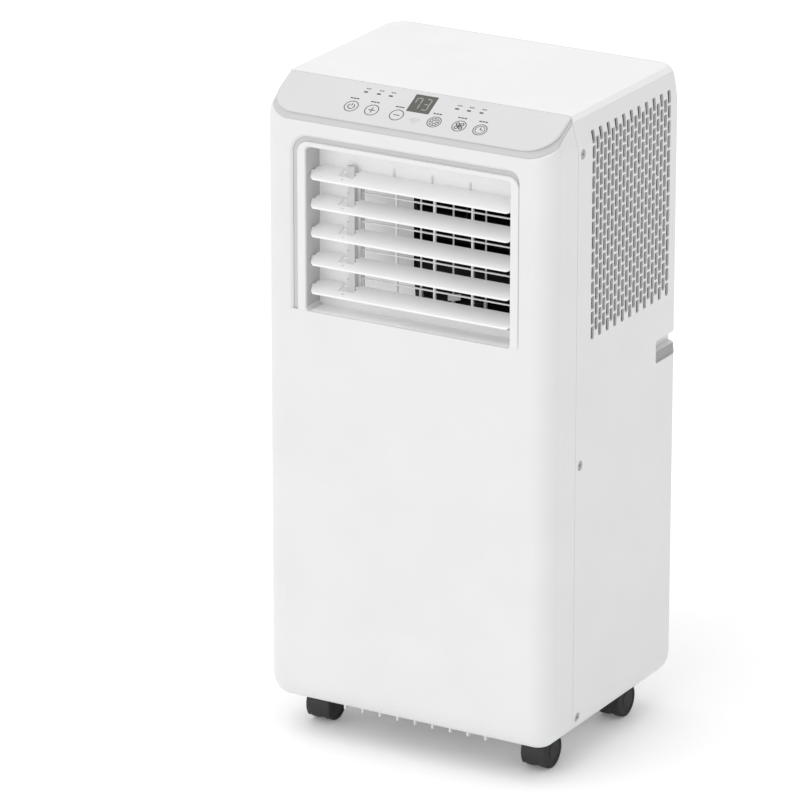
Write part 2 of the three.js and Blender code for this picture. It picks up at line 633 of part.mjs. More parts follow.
// A tray on a hollow foot, with bosses for the caster stems and ribs that hang through the opening below.
function basePan() {
  const low = BOTTOM + WALL + GAP;
  const block = (inset, z0, z1) =>
    box(-PAN_HALF + inset, PAN_HALF - inset, PAN_Y[0] + inset, PAN_Y[1] - inset, z0, z1);
  const tray = block(0, 46.8, 80).subtract(block(WALL, 50 - GAP, 81));
  const foot = block(4, low, 47).subtract(block(4 + WALL, low - 1, 48));
  const bosses = CASTER_Y.flatMap((y) => mirrored((side) => rod("z", side * CASTER_X, y, 11, low, 64, 10)));
  const ribs = Array.from({ length: 9 }, (_, i) => -80 + 20 * i)
    .map((x) => box(x - 1, x + 1, -116, 92, BOTTOM - 7.5, 48));
  const stems = CASTER_Y.flatMap((y) =>
    mirrored((side) => rod("z", side * CASTER_X, y, STEM_RADIUS + 0.5, 40, 63, 10)));
  return cut(join([tray, foot, ...bosses, ...ribs]), stems);
}

add("condenser_coil", box(-105, 105, 92, 117, 80 + GAP, 250), FIN_METAL);
add("blower_scroll", blowerScroll(), LIGHT_GREY);
add("blower_wheel", blowerWheel(), BLACK).position.set(BLOWER_X, 24, BLOWER_Z);
add("blower_motor", blowerMotor(), STEEL);
add("exhaust_duct", exhaustDuct(), LIGHT_GREY);
add("exhaust_collar", exhaustCollar(), WHITE);
add("compressor", compressor(), BLACK).position.set(COMPRESSOR.x, COMPRESSOR.y, 0);
add("accumulator", rod("z", 120, 40, 20, 110, 230), BLACK);
add("suction_pipe", suctionPipe(), COPPER);
add("discharge_pipe", dischargePipe(), COPPER);
add("electrical_box", box(78, 138, -60, 10, 318, 415), LIGHT_GREY);
add("run_capacitor", rod("z", 105, 38, 17, 315, 400), STEEL);
add("base_pan", basePan(), WHITE);

// ---- back: grille, filter door, remote pocket, drains and cord inlet ----
// A flat cover in a rear opening, with rows and columns of slots.
function slottedCover({ x, z }, columns, rows, margin, web) {
  const [width, height] = [x[1] - x[0] - 2 * margin + web, z[1] - z[0] - 2 * margin + web];
  const slots = [];
  for (let i = 0; i < columns; i += 1) {
    for (let k = 0; k < rows; k += 1) {
      const [u, v] = [x[0] + margin + (width / columns) * i, z[0] + margin + (height / rows) * k];
      slots.push(box(u, u + width / columns - web, BACK - 6, BACK + 1, v, v + height / rows - web));
    }
  }
  return cut(box(...x, BACK - 3, BACK, ...z), slots);
}

function remotePocket() {
  return box(100, 147, BACK + GAP, REAR, 514, 587).subtract(box(102, 145, BACK + 1.5, REAR - 1.5, 516, 590));
}

function drainPlug() {
  return rod("y", 0, 0, 10, GAP, 4.5).add(rod("y", 0, 0, 6.5, -12, 1));
}

add("rear_grille", slottedCover(REAR_GRILLE, 2, 8, 12, 6), WHITE);
add("filter_door", slottedCover(FILTER_DOOR, 8, 2, 12, 8), WHITE);
add("rear_filter", filterPanel(-126, 88, 449, 641, "y", BACK - 3 - GAP - 5, BACK - 3 - GAP), MESH_GREY);
add("remote_pocket", remotePocket(), WHITE);
DRAINS.forEach(({ name, x, z }) => add(`drain_plug_${name}`, drainPlug(), BLACK).position.set(x, BACK, z));
add("cord_inlet", rod("y", CORD.x, CORD.z, 10, BACK + GAP, BACK + 5)
  .add(rod("y", CORD.x, CORD.z, 6, BACK - 8, BACK + 1)), BLACK);

// ---- casters ----
// The fork about its swivel axis, with the axle behind it.
function casterFork() {
  const hood = strip(arc(CASTER_TRAIL, WHEEL_RADIUS, 18.7, 35, 205, 8).reverse(), -1.4);
  const web = [...arc(CASTER_TRAIL, WHEEL_RADIUS, 8, -90, 90, 4), [CASTER_TRAIL + 8, 36], [-4, 36],
    [-5, WHEEL_RADIUS - 2]];
  return cut(join([
    prism(hood, "x", -13.5, 13.5), prism(web, "x", -2.2, 2.2),
    rod("z", 0, 0, 9, 34, BOTTOM - GAP, 12), rod("z", 0, 0, STEM_RADIUS, 36, 62, 10),
  ]), [
    rod("x", CASTER_TRAIL, WHEEL_RADIUS, 3.5, -5, 5, 10),
    rod("x", CASTER_TRAIL, WHEEL_RADIUS, 18.6, 2.6, 20, 20),
    rod("x", CASTER_TRAIL, WHEEL_RADIUS, 18.6, -20, -2.6, 20),
  ]);
}

// Two discs on one axle, about the axle's middle.
function casterWheels() {
  return join([
    rod("x", 0, 0, WHEEL_RADIUS, 3, 13, 24), rod("x", 0, 0, WHEEL_RADIUS, -13, -3, 24),
    rod("x", 0, 0, 3, -4, 4, 8),
  ]);
}

CASTER_Y.forEach((y, row) => mirrored((side) => {
  const place = `${row ? "rear" : "front"}_${side > 0 ? "right" : "left"}`;
  const caster = new THREE.Group();
  caster.position.set(side * CASTER_X, y, 0);
  add(`caster_fork_${place}`, casterFork(), BLACK, caster);
  add(`caster_wheels_${place}`, casterWheels(), BLACK, caster).position.set(0, CASTER_TRAIL, WHEEL_RADIUS);
  model.add(caster);
}));

export default model;
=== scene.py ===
"""Looks of the portable air conditioner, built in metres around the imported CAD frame."""

from math import atan2, cos, degrees, hypot, pi, radians, sin, sqrt, tan

import bmesh
import bpy
from mathutils import Matrix, Vector


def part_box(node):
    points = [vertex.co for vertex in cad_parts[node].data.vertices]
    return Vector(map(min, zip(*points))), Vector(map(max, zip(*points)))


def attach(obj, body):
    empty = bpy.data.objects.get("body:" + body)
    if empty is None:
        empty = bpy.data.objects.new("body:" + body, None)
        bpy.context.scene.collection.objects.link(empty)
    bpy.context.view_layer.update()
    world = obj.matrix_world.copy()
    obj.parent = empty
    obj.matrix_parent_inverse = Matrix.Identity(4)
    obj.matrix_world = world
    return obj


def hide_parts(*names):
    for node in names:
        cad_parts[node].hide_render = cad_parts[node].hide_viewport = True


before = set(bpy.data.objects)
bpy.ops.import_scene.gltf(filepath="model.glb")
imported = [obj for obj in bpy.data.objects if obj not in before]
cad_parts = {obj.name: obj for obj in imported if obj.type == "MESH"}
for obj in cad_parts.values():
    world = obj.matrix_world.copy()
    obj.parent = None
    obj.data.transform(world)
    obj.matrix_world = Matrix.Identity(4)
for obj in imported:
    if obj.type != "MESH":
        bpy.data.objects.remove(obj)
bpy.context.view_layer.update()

MM = 0.001
HOUSING = "housing"


# ---- the frame's sizes, in millimetres ----
def box_mm(node):
    low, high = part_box(node)
    return [value / MM for value in low], [value / MM for value in high]


(_, FRONT, BOTTOM), _ = box_mm("front_panel")
_, (HALF, BACK, HEIGHT) = box_mm("rear_housing")
(_, LID_FRONT, LID_LOW), (_, LID_BACK, _) = box_mm("lid")
(FRAME_LEFT, _, _), (FRAME_RIGHT, POCKET_REAR, FRAME_HIGH) = box_mm("louvre_frame")
(_, COLLAR_START, _), (_, REAR, _) = box_mm("exhaust_collar")
_, (PANEL_HALF, _, _) = box_mm("control_panel")
PANEL_Y = FRONT + 3.7
PANEL_Z = 652.0
SLOPE = atan2(HEIGHT - PANEL_Z, LID_FRONT - PANEL_Y)
PANEL_LENGTH = hypot(HEIGHT - PANEL_Z, LID_FRONT - PANEL_Y) - 0.3
ACROSS = (-HALF - 5, HALF + 5)  # a cut right through the casing
WALL = 2.5
SKIN = 0.25                     # how far a panel that ends at the casing's outline stays inside it
FOOT = (15.0, 24.0)             # the rounded foot: how far inwards, how far up
FOOT_TOP = BOTTOM + FOOT[1]
FRONT_RADIUS = 22.0
REAR_RADIUS = 12.0
TUCK_Z = HEIGHT - 38.0
TUCK = (5.0, 4.0)               # how far the sides lean in at the top, at the front and at the back
SHOULDER = 3.5
PANEL_LIP = 3.9                 # the panel's lower edge, down the slope from its reference line
DECK_DROP = 7.5                 # the casing's deck below the face of the control panel
SEAM = FRONT + 52.0
POCKET_X = (-111.0, 115.0)
POCKET_Z = (449.5, 616.0)
POCKET_DEPTH = 27.0
DUCT_X = (-65.0, 107.0)
DUCT_Z = (458.0, 590.0)
BLADE_PITCH = 29.0
BLADE_Y = FRONT + 13.0
BLADE_Z = [587.0 - BLADE_PITCH * i for i in range(5)]
BLADE_TILT = radians(20)
VANE_Y = FRONT + 63.0
VANE_X = (-18.0, 18.0, 54.0)
VANE_TURN = radians(30)
GUARD_X = (-27.0, 15.0, 57.0)
RUNG_DROP = 18.5                # from a blade's pivot down to the guard's rung behind it
LOW_RUNG_Z = 471.0
BLADE_BORE = 2.3                # the holes for the blades' end pins
TIE_REACH = 9.0                 # from a blade's pivot back to its tie-bar pin
LINK_REACH = 9.0                # from a vane's pivot back to its link pin
SLOT_PITCH = 7.65               # the upright slots, column to column
CASTER_X = 123.0
CASTER_Y = (FRONT + 45.5, FRONT + 198.5)
STEMS = [(side * CASTER_X, y) for side in (-1, 1) for y in CASTER_Y]
SCREW_Y = -73.8
SCREW_Z = (634.0, 319.5, 57.0)


# ---- outlines: lists of (u, v) ----
def arc(u, v, radius, start, end, steps=8):
    turns = [radians(start + (end - start) * i / steps) for i in range(steps + 1)]
    return [(u + radius * cos(t), v + radius * sin(t)) for t in turns]


def circle(u, v, radius, steps=48):
    return arc(u, v, radius, 0, 360 - 360 / steps, steps - 1)


def rounded(u0, u1, v0, v1, *radii, steps=6):
    """A rectangle with rounded corners: one radius, or four from the low corner anticlockwise."""
    a, b, c, d = radii if len(radii) == 4 else radii * 4
    return [*arc(u0 + a, v0 + a, a, 180, 270, steps), *arc(u1 - b, v0 + b, b, 270, 360, steps),
            *arc(u1 - c, v1 - c, c, 0, 90, steps), *arc(u0 + d, v1 - d, d, 90, 180, steps)]


# ---- parts: (vertices, faces) ----
AXES = {"x": lambda u, v, w: (w, u, v), "y": lambda u, v, w: (u, w, v), "z": lambda u, v, w: (u, v, w)}


def loft(rings, closed=False):
    count = len(rings[0])
    vertices = [point for ring in rings for point in ring]
    faces = []
    for k in range(len(rings) if closed else len(rings) - 1):
        here, above = k * count, (k + 1) % len(rings) * count
        for i in range(count):
            j = (i + 1) % count
            faces.append((here + i, here + j, above + j, above + i))
    if not closed:
        faces += [tuple(range(count))[::-1], tuple(range(len(vertices) - count, len(vertices)))]
    return vertices, faces


def layers(axis, outline_at, levels):
    """Joins one outline per level of (height, inset); outline_at gives the outline for an inset."""
    place = AXES[axis]
    return loft([[place(u, v, w) for u, v in outline_at(inset)] for w, inset in levels])


def prism(outline, axis, low, high):
    return layers(axis, lambda _: outline, ((low, 0), (high, 0)))


def rod(axis, u, v, radius, low, high, steps=48):
    return prism(circle(u, v, radius, steps), axis, low, high)


def box(x0, x1, y0, y1, z0, z1):
    return prism([(x0, y0), (x1, y0), (x1, y1), (x0, y1)], "z", z0, z1)


def lathe(profile, axis, u, v, steps=48):
    """Turns a closed profile of (radius, along) about an axis through (u, v)."""
    place = AXES[axis]
    rings = []
    for i in range(steps):
        t = 2 * pi * i / steps
        rings.append([place(u + r * cos(t), v + r * sin(t), w) for r, w in profile])
    return loft(rings, closed=True)


def disc(profile, axis, u, v, steps=48):
    """A solid of revolution whose profile of (radius, along) starts and ends on a small flat face."""
    levels = [(w, radius) for radius, w in profile]
    return layers(axis, lambda radius: circle(u, v, radius, steps), levels)


def ribbon(points, width, low, high, closed=False):
    """A flat line of the given width along points, in the plane of the first two axes."""
    rings = []
    count = len(points)
    for i, (u, v) in enumerate(points):
        u0, v0 = points[(i - 1) % count] if closed or i else points[0]
        u1, v1 = points[(i + 1) % count] if closed or i < count - 1 else points[-1]
        length = hypot(u1 - u0, v1 - v0)
        du, dv = -(v1 - v0) / length * width / 2, (u1 - u0) / length * width / 2
        left, right = (u + du, v + dv), (u - du, v - dv)
        rings.append([(*left, low), (*right, low), (*right, high), (*left, high)])
    return loft(rings, closed)


def joined(parts):
    vertices, faces = [], []
    for part_vertices, part_faces in parts:
        start = len(vertices)
        vertices += part_vertices
        faces += [tuple(start + i for i in face) for face in part_faces]
    return vertices, faces


def moved(part, matrix):
    return [tuple(matrix @ Vector(point)) for point in part[0]], part[1]


def mirrored(part):
    return [(-x, y, z) for x, y, z in part[0]], [face[::-1] for face in part[1]]


def on_slope(part):
    """From the control panel's own frame to the object's."""
    return moved(part, Matrix.Translation((0, PANEL_Y, PANEL_Z)) @ Matrix.Rotation(SLOPE, 4, "X"))


# ---- objects ----
def new_object(name, data):
    thing = bpy.data.objects.new(name, data)
    bpy.context.scene.collection.objects.link(thing)
    return thing


def raw_object(part, name="part"):
    mesh = bpy.data.meshes.new(name)
    mesh.from_pydata([(x * MM, y * MM, z * MM) for x, y, z in part[0]], [], part[1])
    work = bmesh.new()
    work.from_mesh(mesh)
    bmesh.ops.recalc_face_normals(work, faces=work.faces)
    work.to_mesh(mesh)
    work.free()
    return new_object(name, mesh)


def apply_modifiers(thing):
    bpy.context.view_layer.update()
    graph = bpy.context.evaluated_depsgraph_get()
    mesh = bpy.data.meshes.new_from_object(thing.evaluated_get(graph))
    thing.modifiers.clear()
    thing.data = mesh


def combine(thing, part, operation):
    tool = part if isinstance(part, bpy.types.Object) else raw_object(part)
    change = thing.modifiers.new("combine", "BOOLEAN")
    change.object = tool
    change.operation = operation
    change.solver = "MANIFOLD"
    apply_modifiers(thing)
    bpy.data.objects.remove(tool)


def carve(thing, *parts):
    for part in parts:
        combine(thing, part, "DIFFERENCE")
    return thing


def add(thing, *parts):
    for part in parts:
        combine(thing, part, "UNION")


def keep(thing, part):
    combine(thing, part, "INTERSECT")
    return thing


def soften(thing, width, segments=2, angle=38):
    """Rounds the sharp edges, and shades the rest smooth."""
    if width:
        change = thing.modifiers.new("soften", "BEVEL")
        change.width = width * MM
        change.segments = segments
        change.limit_method = "ANGLE"
        change.angle_limit = radians(angle)
        apply_modifiers(thing)
    mesh = thing.data
    mesh.polygons.foreach_set("use_smooth", [True] * len(mesh.polygons))
    mesh.set_sharp_from_angle(angle=radians(angle))
    even = thing.modifiers.new("even", "WEIGHTED_NORMAL")
    even.keep_sharp = True
    apply_modifiers(thing)


def piece(name, part, finish, replaced=(), body=HOUSING, bevel=0.0, segments=2, angle=38):
    """Finishes a part or an object: its edges in millimetres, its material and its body."""
    thing = part if isinstance(part, bpy.types.Object) else raw_object(part)
    thing.name = name
    soften(thing, bevel, segments, angle)
    thing.data.materials.clear()
    thing.data.materials.append(finish)
    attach(thing, body)
    if replaced:
        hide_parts(*replaced)


# ---- materials ----
def connect(node, **inputs):
    """Fills a node's inputs by name: a socket is linked, and any other value is set."""
    for name, value in inputs.items():
        socket = node.inputs[name.replace("_", " ")]
        if isinstance(value, bpy.types.NodeSocket):
            node.id_data.links.new(value, socket)
        else:
            socket.default_value = value
    return node


def add_node(tree, kind, **inputs):
    return connect(tree.nodes.new("ShaderNode" + kind), **inputs)


def new_material(name, **inputs):
    """A material, its node tree and shader, and the socket that tells where a point lies."""
    material = bpy.data.materials.new(name)
    material.use_nodes = True
    tree = material.node_tree
    shader = connect(tree.nodes["Principled BSDF"], **inputs)
    return material, tree, shader, add_node(tree, "TexCoord").outputs["Object"]


def grey(value):
    """A neutral colour from its brightness on screen, 0 to 255."""
    level = value / 255
    linear = level / 12.92 if level <= 0.04045 else ((level + 0.055) / 1.055) ** 2.4
    return (linear, linear, linear * 1.006, 1)


def noise(tree, place, scale, detail=3.0):
    return add_node(tree, "TexNoise", Vector=place, Scale=scale, Detail=detail).outputs["Fac"]


def ramp(tree, value, *stops):
    mix = add_node(tree, "ValToRGB", Fac=value)
    for element, (position, colour) in zip(mix.color_ramp.elements, stops):
        element.position, element.color = position, colour
    return mix.outputs["Color"]


def span(tree, value, low, high):
    return add_node(tree, "MapRange", Value=value, To_Min=low, To_Max=high).outputs["Result"]


def bump(tree, height, shader, strength, depth):
    relief = add_node(tree, "Bump", Height=height, Strength=strength, Distance=depth * MM)
    connect(shader, Normal=relief.outputs["Normal"])


def shades(colour, spread):
    return [tuple(c * (1 + k) for c in colour[:3]) + (1,) for k in (-spread, spread)]


def moulded(name, colour, rough=(0.36, 0.46), spread=0.012, grain=900.0, depth=0.02, metallic=0.0, coat=0.0,
            stretch=(1, 1, 1), glow=0.0):
    """Moulded, painted or drawn stock: cloudy colour, uneven gloss and a fine surface grain; a glow above
    zero is painted light, an even emission.
    """
    material, tree, shader, place = new_material(name, Metallic=metallic, Coat_Weight=coat,
                                                 Emission_Color=(1, 1, 1, 1), Emission_Strength=glow)
    scaled = add_node(tree, "Mapping", Vector=place, Scale=stretch).outputs["Vector"]
    cloud, fine = noise(tree, scaled, 14.0), noise(tree, scaled, grain, 2.0)
    low, high = shades(colour, spread)
    connect(shader, Roughness=span(tree, fine, *rough),
            Base_Color=ramp(tree, cloud, (0.35, low), (0.65, high)))
    bump(tree, fine, shader, 0.35, depth)
    return material


def wave(tree, place, direction, period):
    """Bands of the given period in millimetres."""
    texture = add_node(tree, "TexWave", Vector=place, Scale=2 * pi / 20 / (period * MM))
    texture.bands_direction = direction
    return texture.outputs["Fac"]


def woven(name, directions, thread, hole, period=1.3):
    """A net of threads in two directions."""
    material, tree, shader, place = new_material(name, Roughness=0.7)
    most = add_node(tree, "Math")
    most.operation = "MAXIMUM"
    for socket, direction in zip(most.inputs, directions):
        tree.links.new(wave(tree, place, direction, period), socket)
    connect(shader, Base_Color=ramp(tree, most.outputs["Value"], (0.55, hole), (0.85, thread)))
    bump(tree, most.outputs["Value"], shader, 0.8, 0.3)
    return material


def finned(name, direction, period=1.9):
    """Close metal fins seen on edge."""
    material, tree, shader, place = new_material(name, Metallic=0.85)
    band = wave(tree, place, direction, period)
    connect(shader, Base_Color=ramp(tree, band, (0.3, grey(70)), (0.8, grey(200))),
            Roughness=span(tree, noise(tree, place, 300.0), 0.25, 0.45))
    bump(tree, band, shader, 0.7, 0.6)
    return material


def porous(name, colour):
    """Closed-cell foam."""
    material, tree, shader, place = new_material(name, Roughness=0.85)
    cells = add_node(tree, "TexVoronoi", Vector=place, Scale=700.0).outputs["Distance"]
    low, high = shades(colour, 0.12)
    connect(shader, Base_Color=ramp(tree, cells, (0.1, low), (0.6, high)))
    bump(tree, cells, shader, 0.5, 0.4)
    return material


def board(name):
    """Green circuit board with paler tracks."""
    material, tree, shader, place = new_material(name, Roughness=0.4)
    tracks = add_node(tree, "TexBrick", Vector=place, Scale=90.0, Mortar_Size=0.03,
                      Mortar=(0.05, 0.25, 0.1, 1), Color1=(0.012, 0.09, 0.035, 1),
                      Color2=(0.014, 0.11, 0.042, 1))
    connect(shader, Base_Color=tracks.outputs["Color"])
    bump(tree, tracks.outputs["Fac"], shader, 0.3, 0.1)
    return material


WHITE = moulded("white_moulding", grey(222))
# The lid's white is lighter than the casing's own white: painted light on the top, which faces the lamps.
LID_WHITE_PAINTED_LIGHT = moulded("lid_painted_light", grey(236))
PANEL_GREY = moulded("panel_satin", grey(208), rough=(0.3, 0.38), depth=0.01)
# Darker grey for the band under the control plate: painted shade from the plate's overhang.
SKIRT_PAINTED_SHADE = moulded("skirt_painted_shade", grey(196), rough=(0.35, 0.45), depth=0.01)
# Blades and guard: a lighter white with a faint glow, painted light that lifts their shaded rear edges.
BLADE_WHITE_PAINTED_LIGHT = moulded("blade_painted_light", grey(236), rough=(0.35, 0.45), glow=0.02)
NET_RIM = moulded("net_rim_moulding", grey(120), rough=(0.5, 0.6))
INNER_WHITE = moulded("inner_moulding", grey(224), rough=(0.4, 0.5))
# The pocket's back wall glows a little: painted light in the recess.
POCKET_BACK_PAINTED_LIGHT = moulded("pocket_back_painted_light", grey(236), rough=(0.45, 0.55), glow=0.05)
# The pocket's floor glows: painted light that lifts the shade under the lowest blade.
POCKET_FLOOR_PAINTED_LIGHT = moulded("pocket_floor_painted_light", grey(234), rough=(0.45, 0.55), glow=0.08)
# Darker grey on the pocket's left wall: painted shade in the recess.
POCKET_SIDE_PAINTED_SHADE = moulded("pocket_side_painted_shade", grey(190), rough=(0.45, 0.55))
# Darker grey on the flange at the bottom of the groove round the outlet: painted shade.
GROOVE_PAINTED_SHADE = moulded("groove_painted_shade", grey(196), rough=(0.45, 0.55))
SHADE_GREY = moulded("tie_bar_moulding", grey(205), rough=(0.4, 0.5))
PALE_GREY = moulded("vane_moulding", grey(222), rough=(0.35, 0.45))
# The duct's liner glows strongly: painted light on the duct's left wall and floor, seen through the blades.
DUCT_LINER_PAINTED_LIGHT = moulded("duct_liner_painted_light", grey(225), rough=(0.45, 0.55), glow=0.33)
# Dark grey pad on each hand recess's sloped shelf: painted shade on the shelf.
GRIP_PAINTED_SHADE = moulded("shelf_painted_shade", grey(158), rough=(0.55, 0.7), grain=1500.0, depth=0.05)
LENS = moulded("smoked_window", (0.06, 0.061, 0.053, 1), rough=(0.14, 0.2), grain=200.0, depth=0.002,
               coat=0.1)
DIGITS = moulded("display_segments", (0.38, 0.4, 0.36, 1), rough=(0.3, 0.4))
INK = moulded("printed_marks", grey(62), rough=(0.45, 0.6), spread=0.08)
PALE_INK = moulded("pale_marks", grey(185), rough=(0.45, 0.6), spread=0.05)
BLACK_PLASTIC = moulded("black_moulding", grey(30), rough=(0.38, 0.5), spread=0.06, depth=0.04)
DEEP_BLACK = moulded("dark_moulding", grey(14), rough=(0.6, 0.75), spread=0.1, depth=0.03)
RUBBER = moulded("tyre_rubber", grey(22), rough=(0.55, 0.75), spread=0.1, grain=1600.0, depth=0.06)
PAINTED_BLACK = moulded("painted_steel", grey(30), rough=(0.3, 0.45), spread=0.1, grain=500.0, depth=0.06,
                        coat=0.2)
STEEL = moulded("drawn_steel", grey(172), rough=(0.25, 0.42), spread=0.08, metallic=1.0, stretch=(1, 1, 12))
COPPER = moulded("copper_tube", (0.72, 0.34, 0.2, 1), rough=(0.22, 0.4), spread=0.2, metallic=1.0, depth=0.01)
BASE = moulded("base_moulding", grey(226), rough=(0.45, 0.6), grain=700.0, depth=0.05)
SIDE_NET = woven("side_net", "YZ", grey(96), grey(62))
REAR_NET = woven("rear_net", "XZ", grey(112), grey(76))
FINS = finned("coil_fins", "X")
FOAM = porous("tray_foam", grey(140))
BOARD = board("control_board_laminate")


# ---- casing ----
DECK_LOW = PANEL_Z - (PANEL_Y - FRONT) * tan(SLOPE) - DECK_DROP / cos(SLOPE)
SHOULDER_Z = DECK_LOW - SHOULDER * tan((pi / 2 - SLOPE) / 2)


def side_inset(z, inset):
    """How far an upright wall stands in from the full outline: the rounded foot, then straight."""
    across, up = FOOT[0] - inset, FOOT[1] - inset
    if z >= FOOT_TOP:
        return inset
    return FOOT[0] - across * sqrt(max(1 - ((FOOT_TOP - z) / up) ** 2, 0))


def leaned(x, y, z):
    """The sides lean in towards the top: soon at the front, later at the back."""
    rise = min(max((z - TUCK_Z) / (HEIGHT - TUCK_Z), 0), 1)
    early = min(rise / 0.7, 1)
    back = (y - FRONT) / (BACK - FRONT)
    lean = (1 - back) * TUCK[0] * early * early * (3 - 2 * early) + back * TUCK[1] * rise * rise
    return x * (1 - lean / HALF)


def back_at(z, inset):
    crown = BACK - LID_BACK
    rise = z - (HEIGHT - crown)
    if rise <= 0:
        return BACK - side_inset(z, inset)
    return BACK - crown + sqrt(max((crown - inset) ** 2 - rise ** 2, 0))


def casing_ring(z, inset):
    lean = side_inset(z, inset)
    half = HALF - lean
    low, high = FRONT + lean, back_at(z, inset)
    front_radius = FRONT_RADIUS - lean
    rear_radius = max(REAR_RADIUS + 6 * max((z - TUCK_Z) / (HEIGHT - TUCK_Z), 0) - lean, 0.8)
    outline = [*arc(-half + front_radius, low + front_radius, front_radius, 180, 270, 12),
               *arc(half - front_radius, low + front_radius, front_radius, 270, 360, 12),
               *arc(half - rear_radius, high - rear_radius, rear_radius, 0, 90, 8),
               *arc(-half + rear_radius, high - rear_radius, rear_radius, 90, 180, 8)]
    return [(leaned(x, y, z), y, z) for x, y in outline]


def tower(inset):
    """The casing's form before the sloped deck is cut off it."""
    low_levels = [FOOT_TOP - (FOOT[1] - inset) * cos(radians(t)) for t in range(0, 91, 9)]
    lean_levels = [TUCK_Z + 2.5 * k for k in range(11)]
    crown_levels = [665.5, 667.5, 669, 670.5, 671.8, 673, 673.8, 674.4, 674.8]
    levels = low_levels + lean_levels + [z for z in crown_levels if z < HEIGHT - inset] + [HEIGHT - inset]
    return loft([casing_ring(z, inset) for z in levels])


def deck_profile(inset):
    """Outline in Y and Z that keeps what lies below the shoulder and the deck, and behind the lid's front."""
    deck_end = HEIGHT - (DECK_DROP + inset) / cos(SLOPE)
    shoulder = arc(FRONT + SHOULDER, SHOULDER_Z, SHOULDER - inset, 90 + degrees(SLOPE), 180, 8)
    return [(FRONT - 5, BOTTOM - 5), (BACK + 5, BOTTOM - 5), (BACK + 5, HEIGHT + 5), (LID_FRONT, HEIGHT + 5),
            (LID_FRONT, deck_end), *shoulder, (FRONT - 5, SHOULDER_Z)]


def casing(inset):
    form = raw_object(tower(inset))
    return keep(form, prism(deck_profile(inset), "x", *ACROSS))


def seam_line(offset):
    """Seam in side view, bottom to top: upright, then forward to the lid's front corner."""
    points = [(SEAM + offset, BOTTOM - 5)]
    for k in range(9):
        share = k / 8
        points.append((SEAM + offset + (LID_FRONT - SEAM) * share ** 2, 628 + (HEIGHT - 628) * share))
    return points + [(LID_FRONT + offset, HEIGHT + 5)]


def shell():
    return carve(casing(0.0), casing(WALL))


def lid_space(gap=0.12):
    return box(*ACROSS, LID_FRONT - gap, LID_BACK + gap, LID_LOW - gap, HEIGHT + 5)


def underside_opening():
    return box(-106, 106, -117, 96, BOTTOM - 2, BOTTOM + WALL + 2)


def stem_holes():
    return joined([rod("z", x, y, 7, BOTTOM - 3, BOTTOM + WALL + 2) for x, y in STEMS])


def window():
    """Opening of the air outlet, with a soft lead-in on the left and along the top."""
    def outline(share):
        left, top = 8.5 * share, 8.0 * share
        return rounded(FRAME_LEFT - left, FRAME_RIGHT + 0.6, POCKET_Z[0], FRAME_HIGH + top,
                       0.5, 4, 12.6, 12 + left, steps=12)

    return layers("y", outline, ((FRONT - 1, 1.12), (FRONT, 1.0), (FRONT + 0.5, 0.9), (FRONT + 1.4, 0.74),
                                 (FRONT + 2.7, 0.6), (FRONT + 9, 0.6)))


def front_cover():
    front = [*seam_line(-0.2), (FRONT - 9, HEIGHT + 5), (FRONT - 9, BOTTOM - 5)]
    cover = keep(shell(), prism(front, "x", *ACROSS))
    carve(cover, window(), lid_space(), underside_opening(), stem_holes(), deck_opening())
    piece("front_cover", cover, WHITE, ["front_panel"], bevel=0.5)


def deck_opening():
    """Clears the front cover's deck under the control panel's own body."""
    outline = rounded(-PANEL_HALF + 5.5, PANEL_HALF - 5.5, 5.5, PANEL_LENGTH + 8, 18, 18, 1, 1)
    return on_slope(prism(outline, "z", -24, 3))


def slot_outline(y, z, half_width=3.05, half_height=6.6):
    return rounded(y - half_width, y + half_width, z - half_height, z + half_height, 1.6, steps=3)


def side_slots(side):
    slots = []
    for column in range(21):
        odd = column % 2
        y = -52.0 + SLOT_PITCH * column
        for row in range(14 - odd):
            z = 448.8 + 15.14 * (row + odd / 2)
            slots.append(prism(slot_outline(y, z), "x", *sorted((side * 148, side * 165))))
    return joined(slots)


HANDLE = {"y": 80.0, "z": (377.0, 401.0), "depth": 10.5}


def handle_space(side, grow=0.0):
    """Hand recess: a shallow strip for the dark pad that paints the shelf's shade, deeper above it, open at
    the rear edge.
    """
    z0, z1 = HANDLE["z"]
    inner = HALF - HANDLE["depth"] - grow
    outline = [(HALF + 4, z0 - grow), (HALF - 2.2 - grow, z0 - grow), (HALF - 3.2 - grow, z0 + 10 - grow),
               (inner, z0 + 10.8 - grow), (inner, z1 - 3 + grow), (inner + 1, z1 - 1 + grow),
               (inner + 3, z1 + grow), (HALF + 4, z1 + grow)]
    middle, start = (z0 + z1) / 2, HANDLE["y"] - grow

    def drawn_in(shrink):
        return [(side * x, middle + (z - middle) * (1 - shrink / 13)) for x, z in outline]

    return layers("y", drawn_in, ((start, 3.0), (start + 0.9, 0.9), (start + 3, 0.0), (BACK + 3, 0.0)))


def rear_cover():
    rear = [*seam_line(0.2), (BACK + 9, HEIGHT + 5), (BACK + 9, BOTTOM - 5)]
    cover = keep(shell(), prism(rear, "x", *ACROSS))
    for side in (-1, 1):
        add(cover, keep(raw_object(handle_space(side, WALL)), casing(0.05)))
        carve(cover, handle_space(side), side_slots(side), *[screw_seat(side, z) for z in SCREW_Z])
    carve(cover, lid_space(), underside_opening(), stem_holes(), rear_openings())
    piece("rear_cover", cover, WHITE, ["rear_housing"], bevel=0.35, segments=1)


def screw_seat(side, z):
    profile = [(5.3, 161), (5.0, 159.6), (4.6, 158.2), (1.6, 157.6), (1.6, 150)]
    seat = disc(profile, "x", SCREW_Y, z, 32)
    return seat if side > 0 else mirrored(seat)


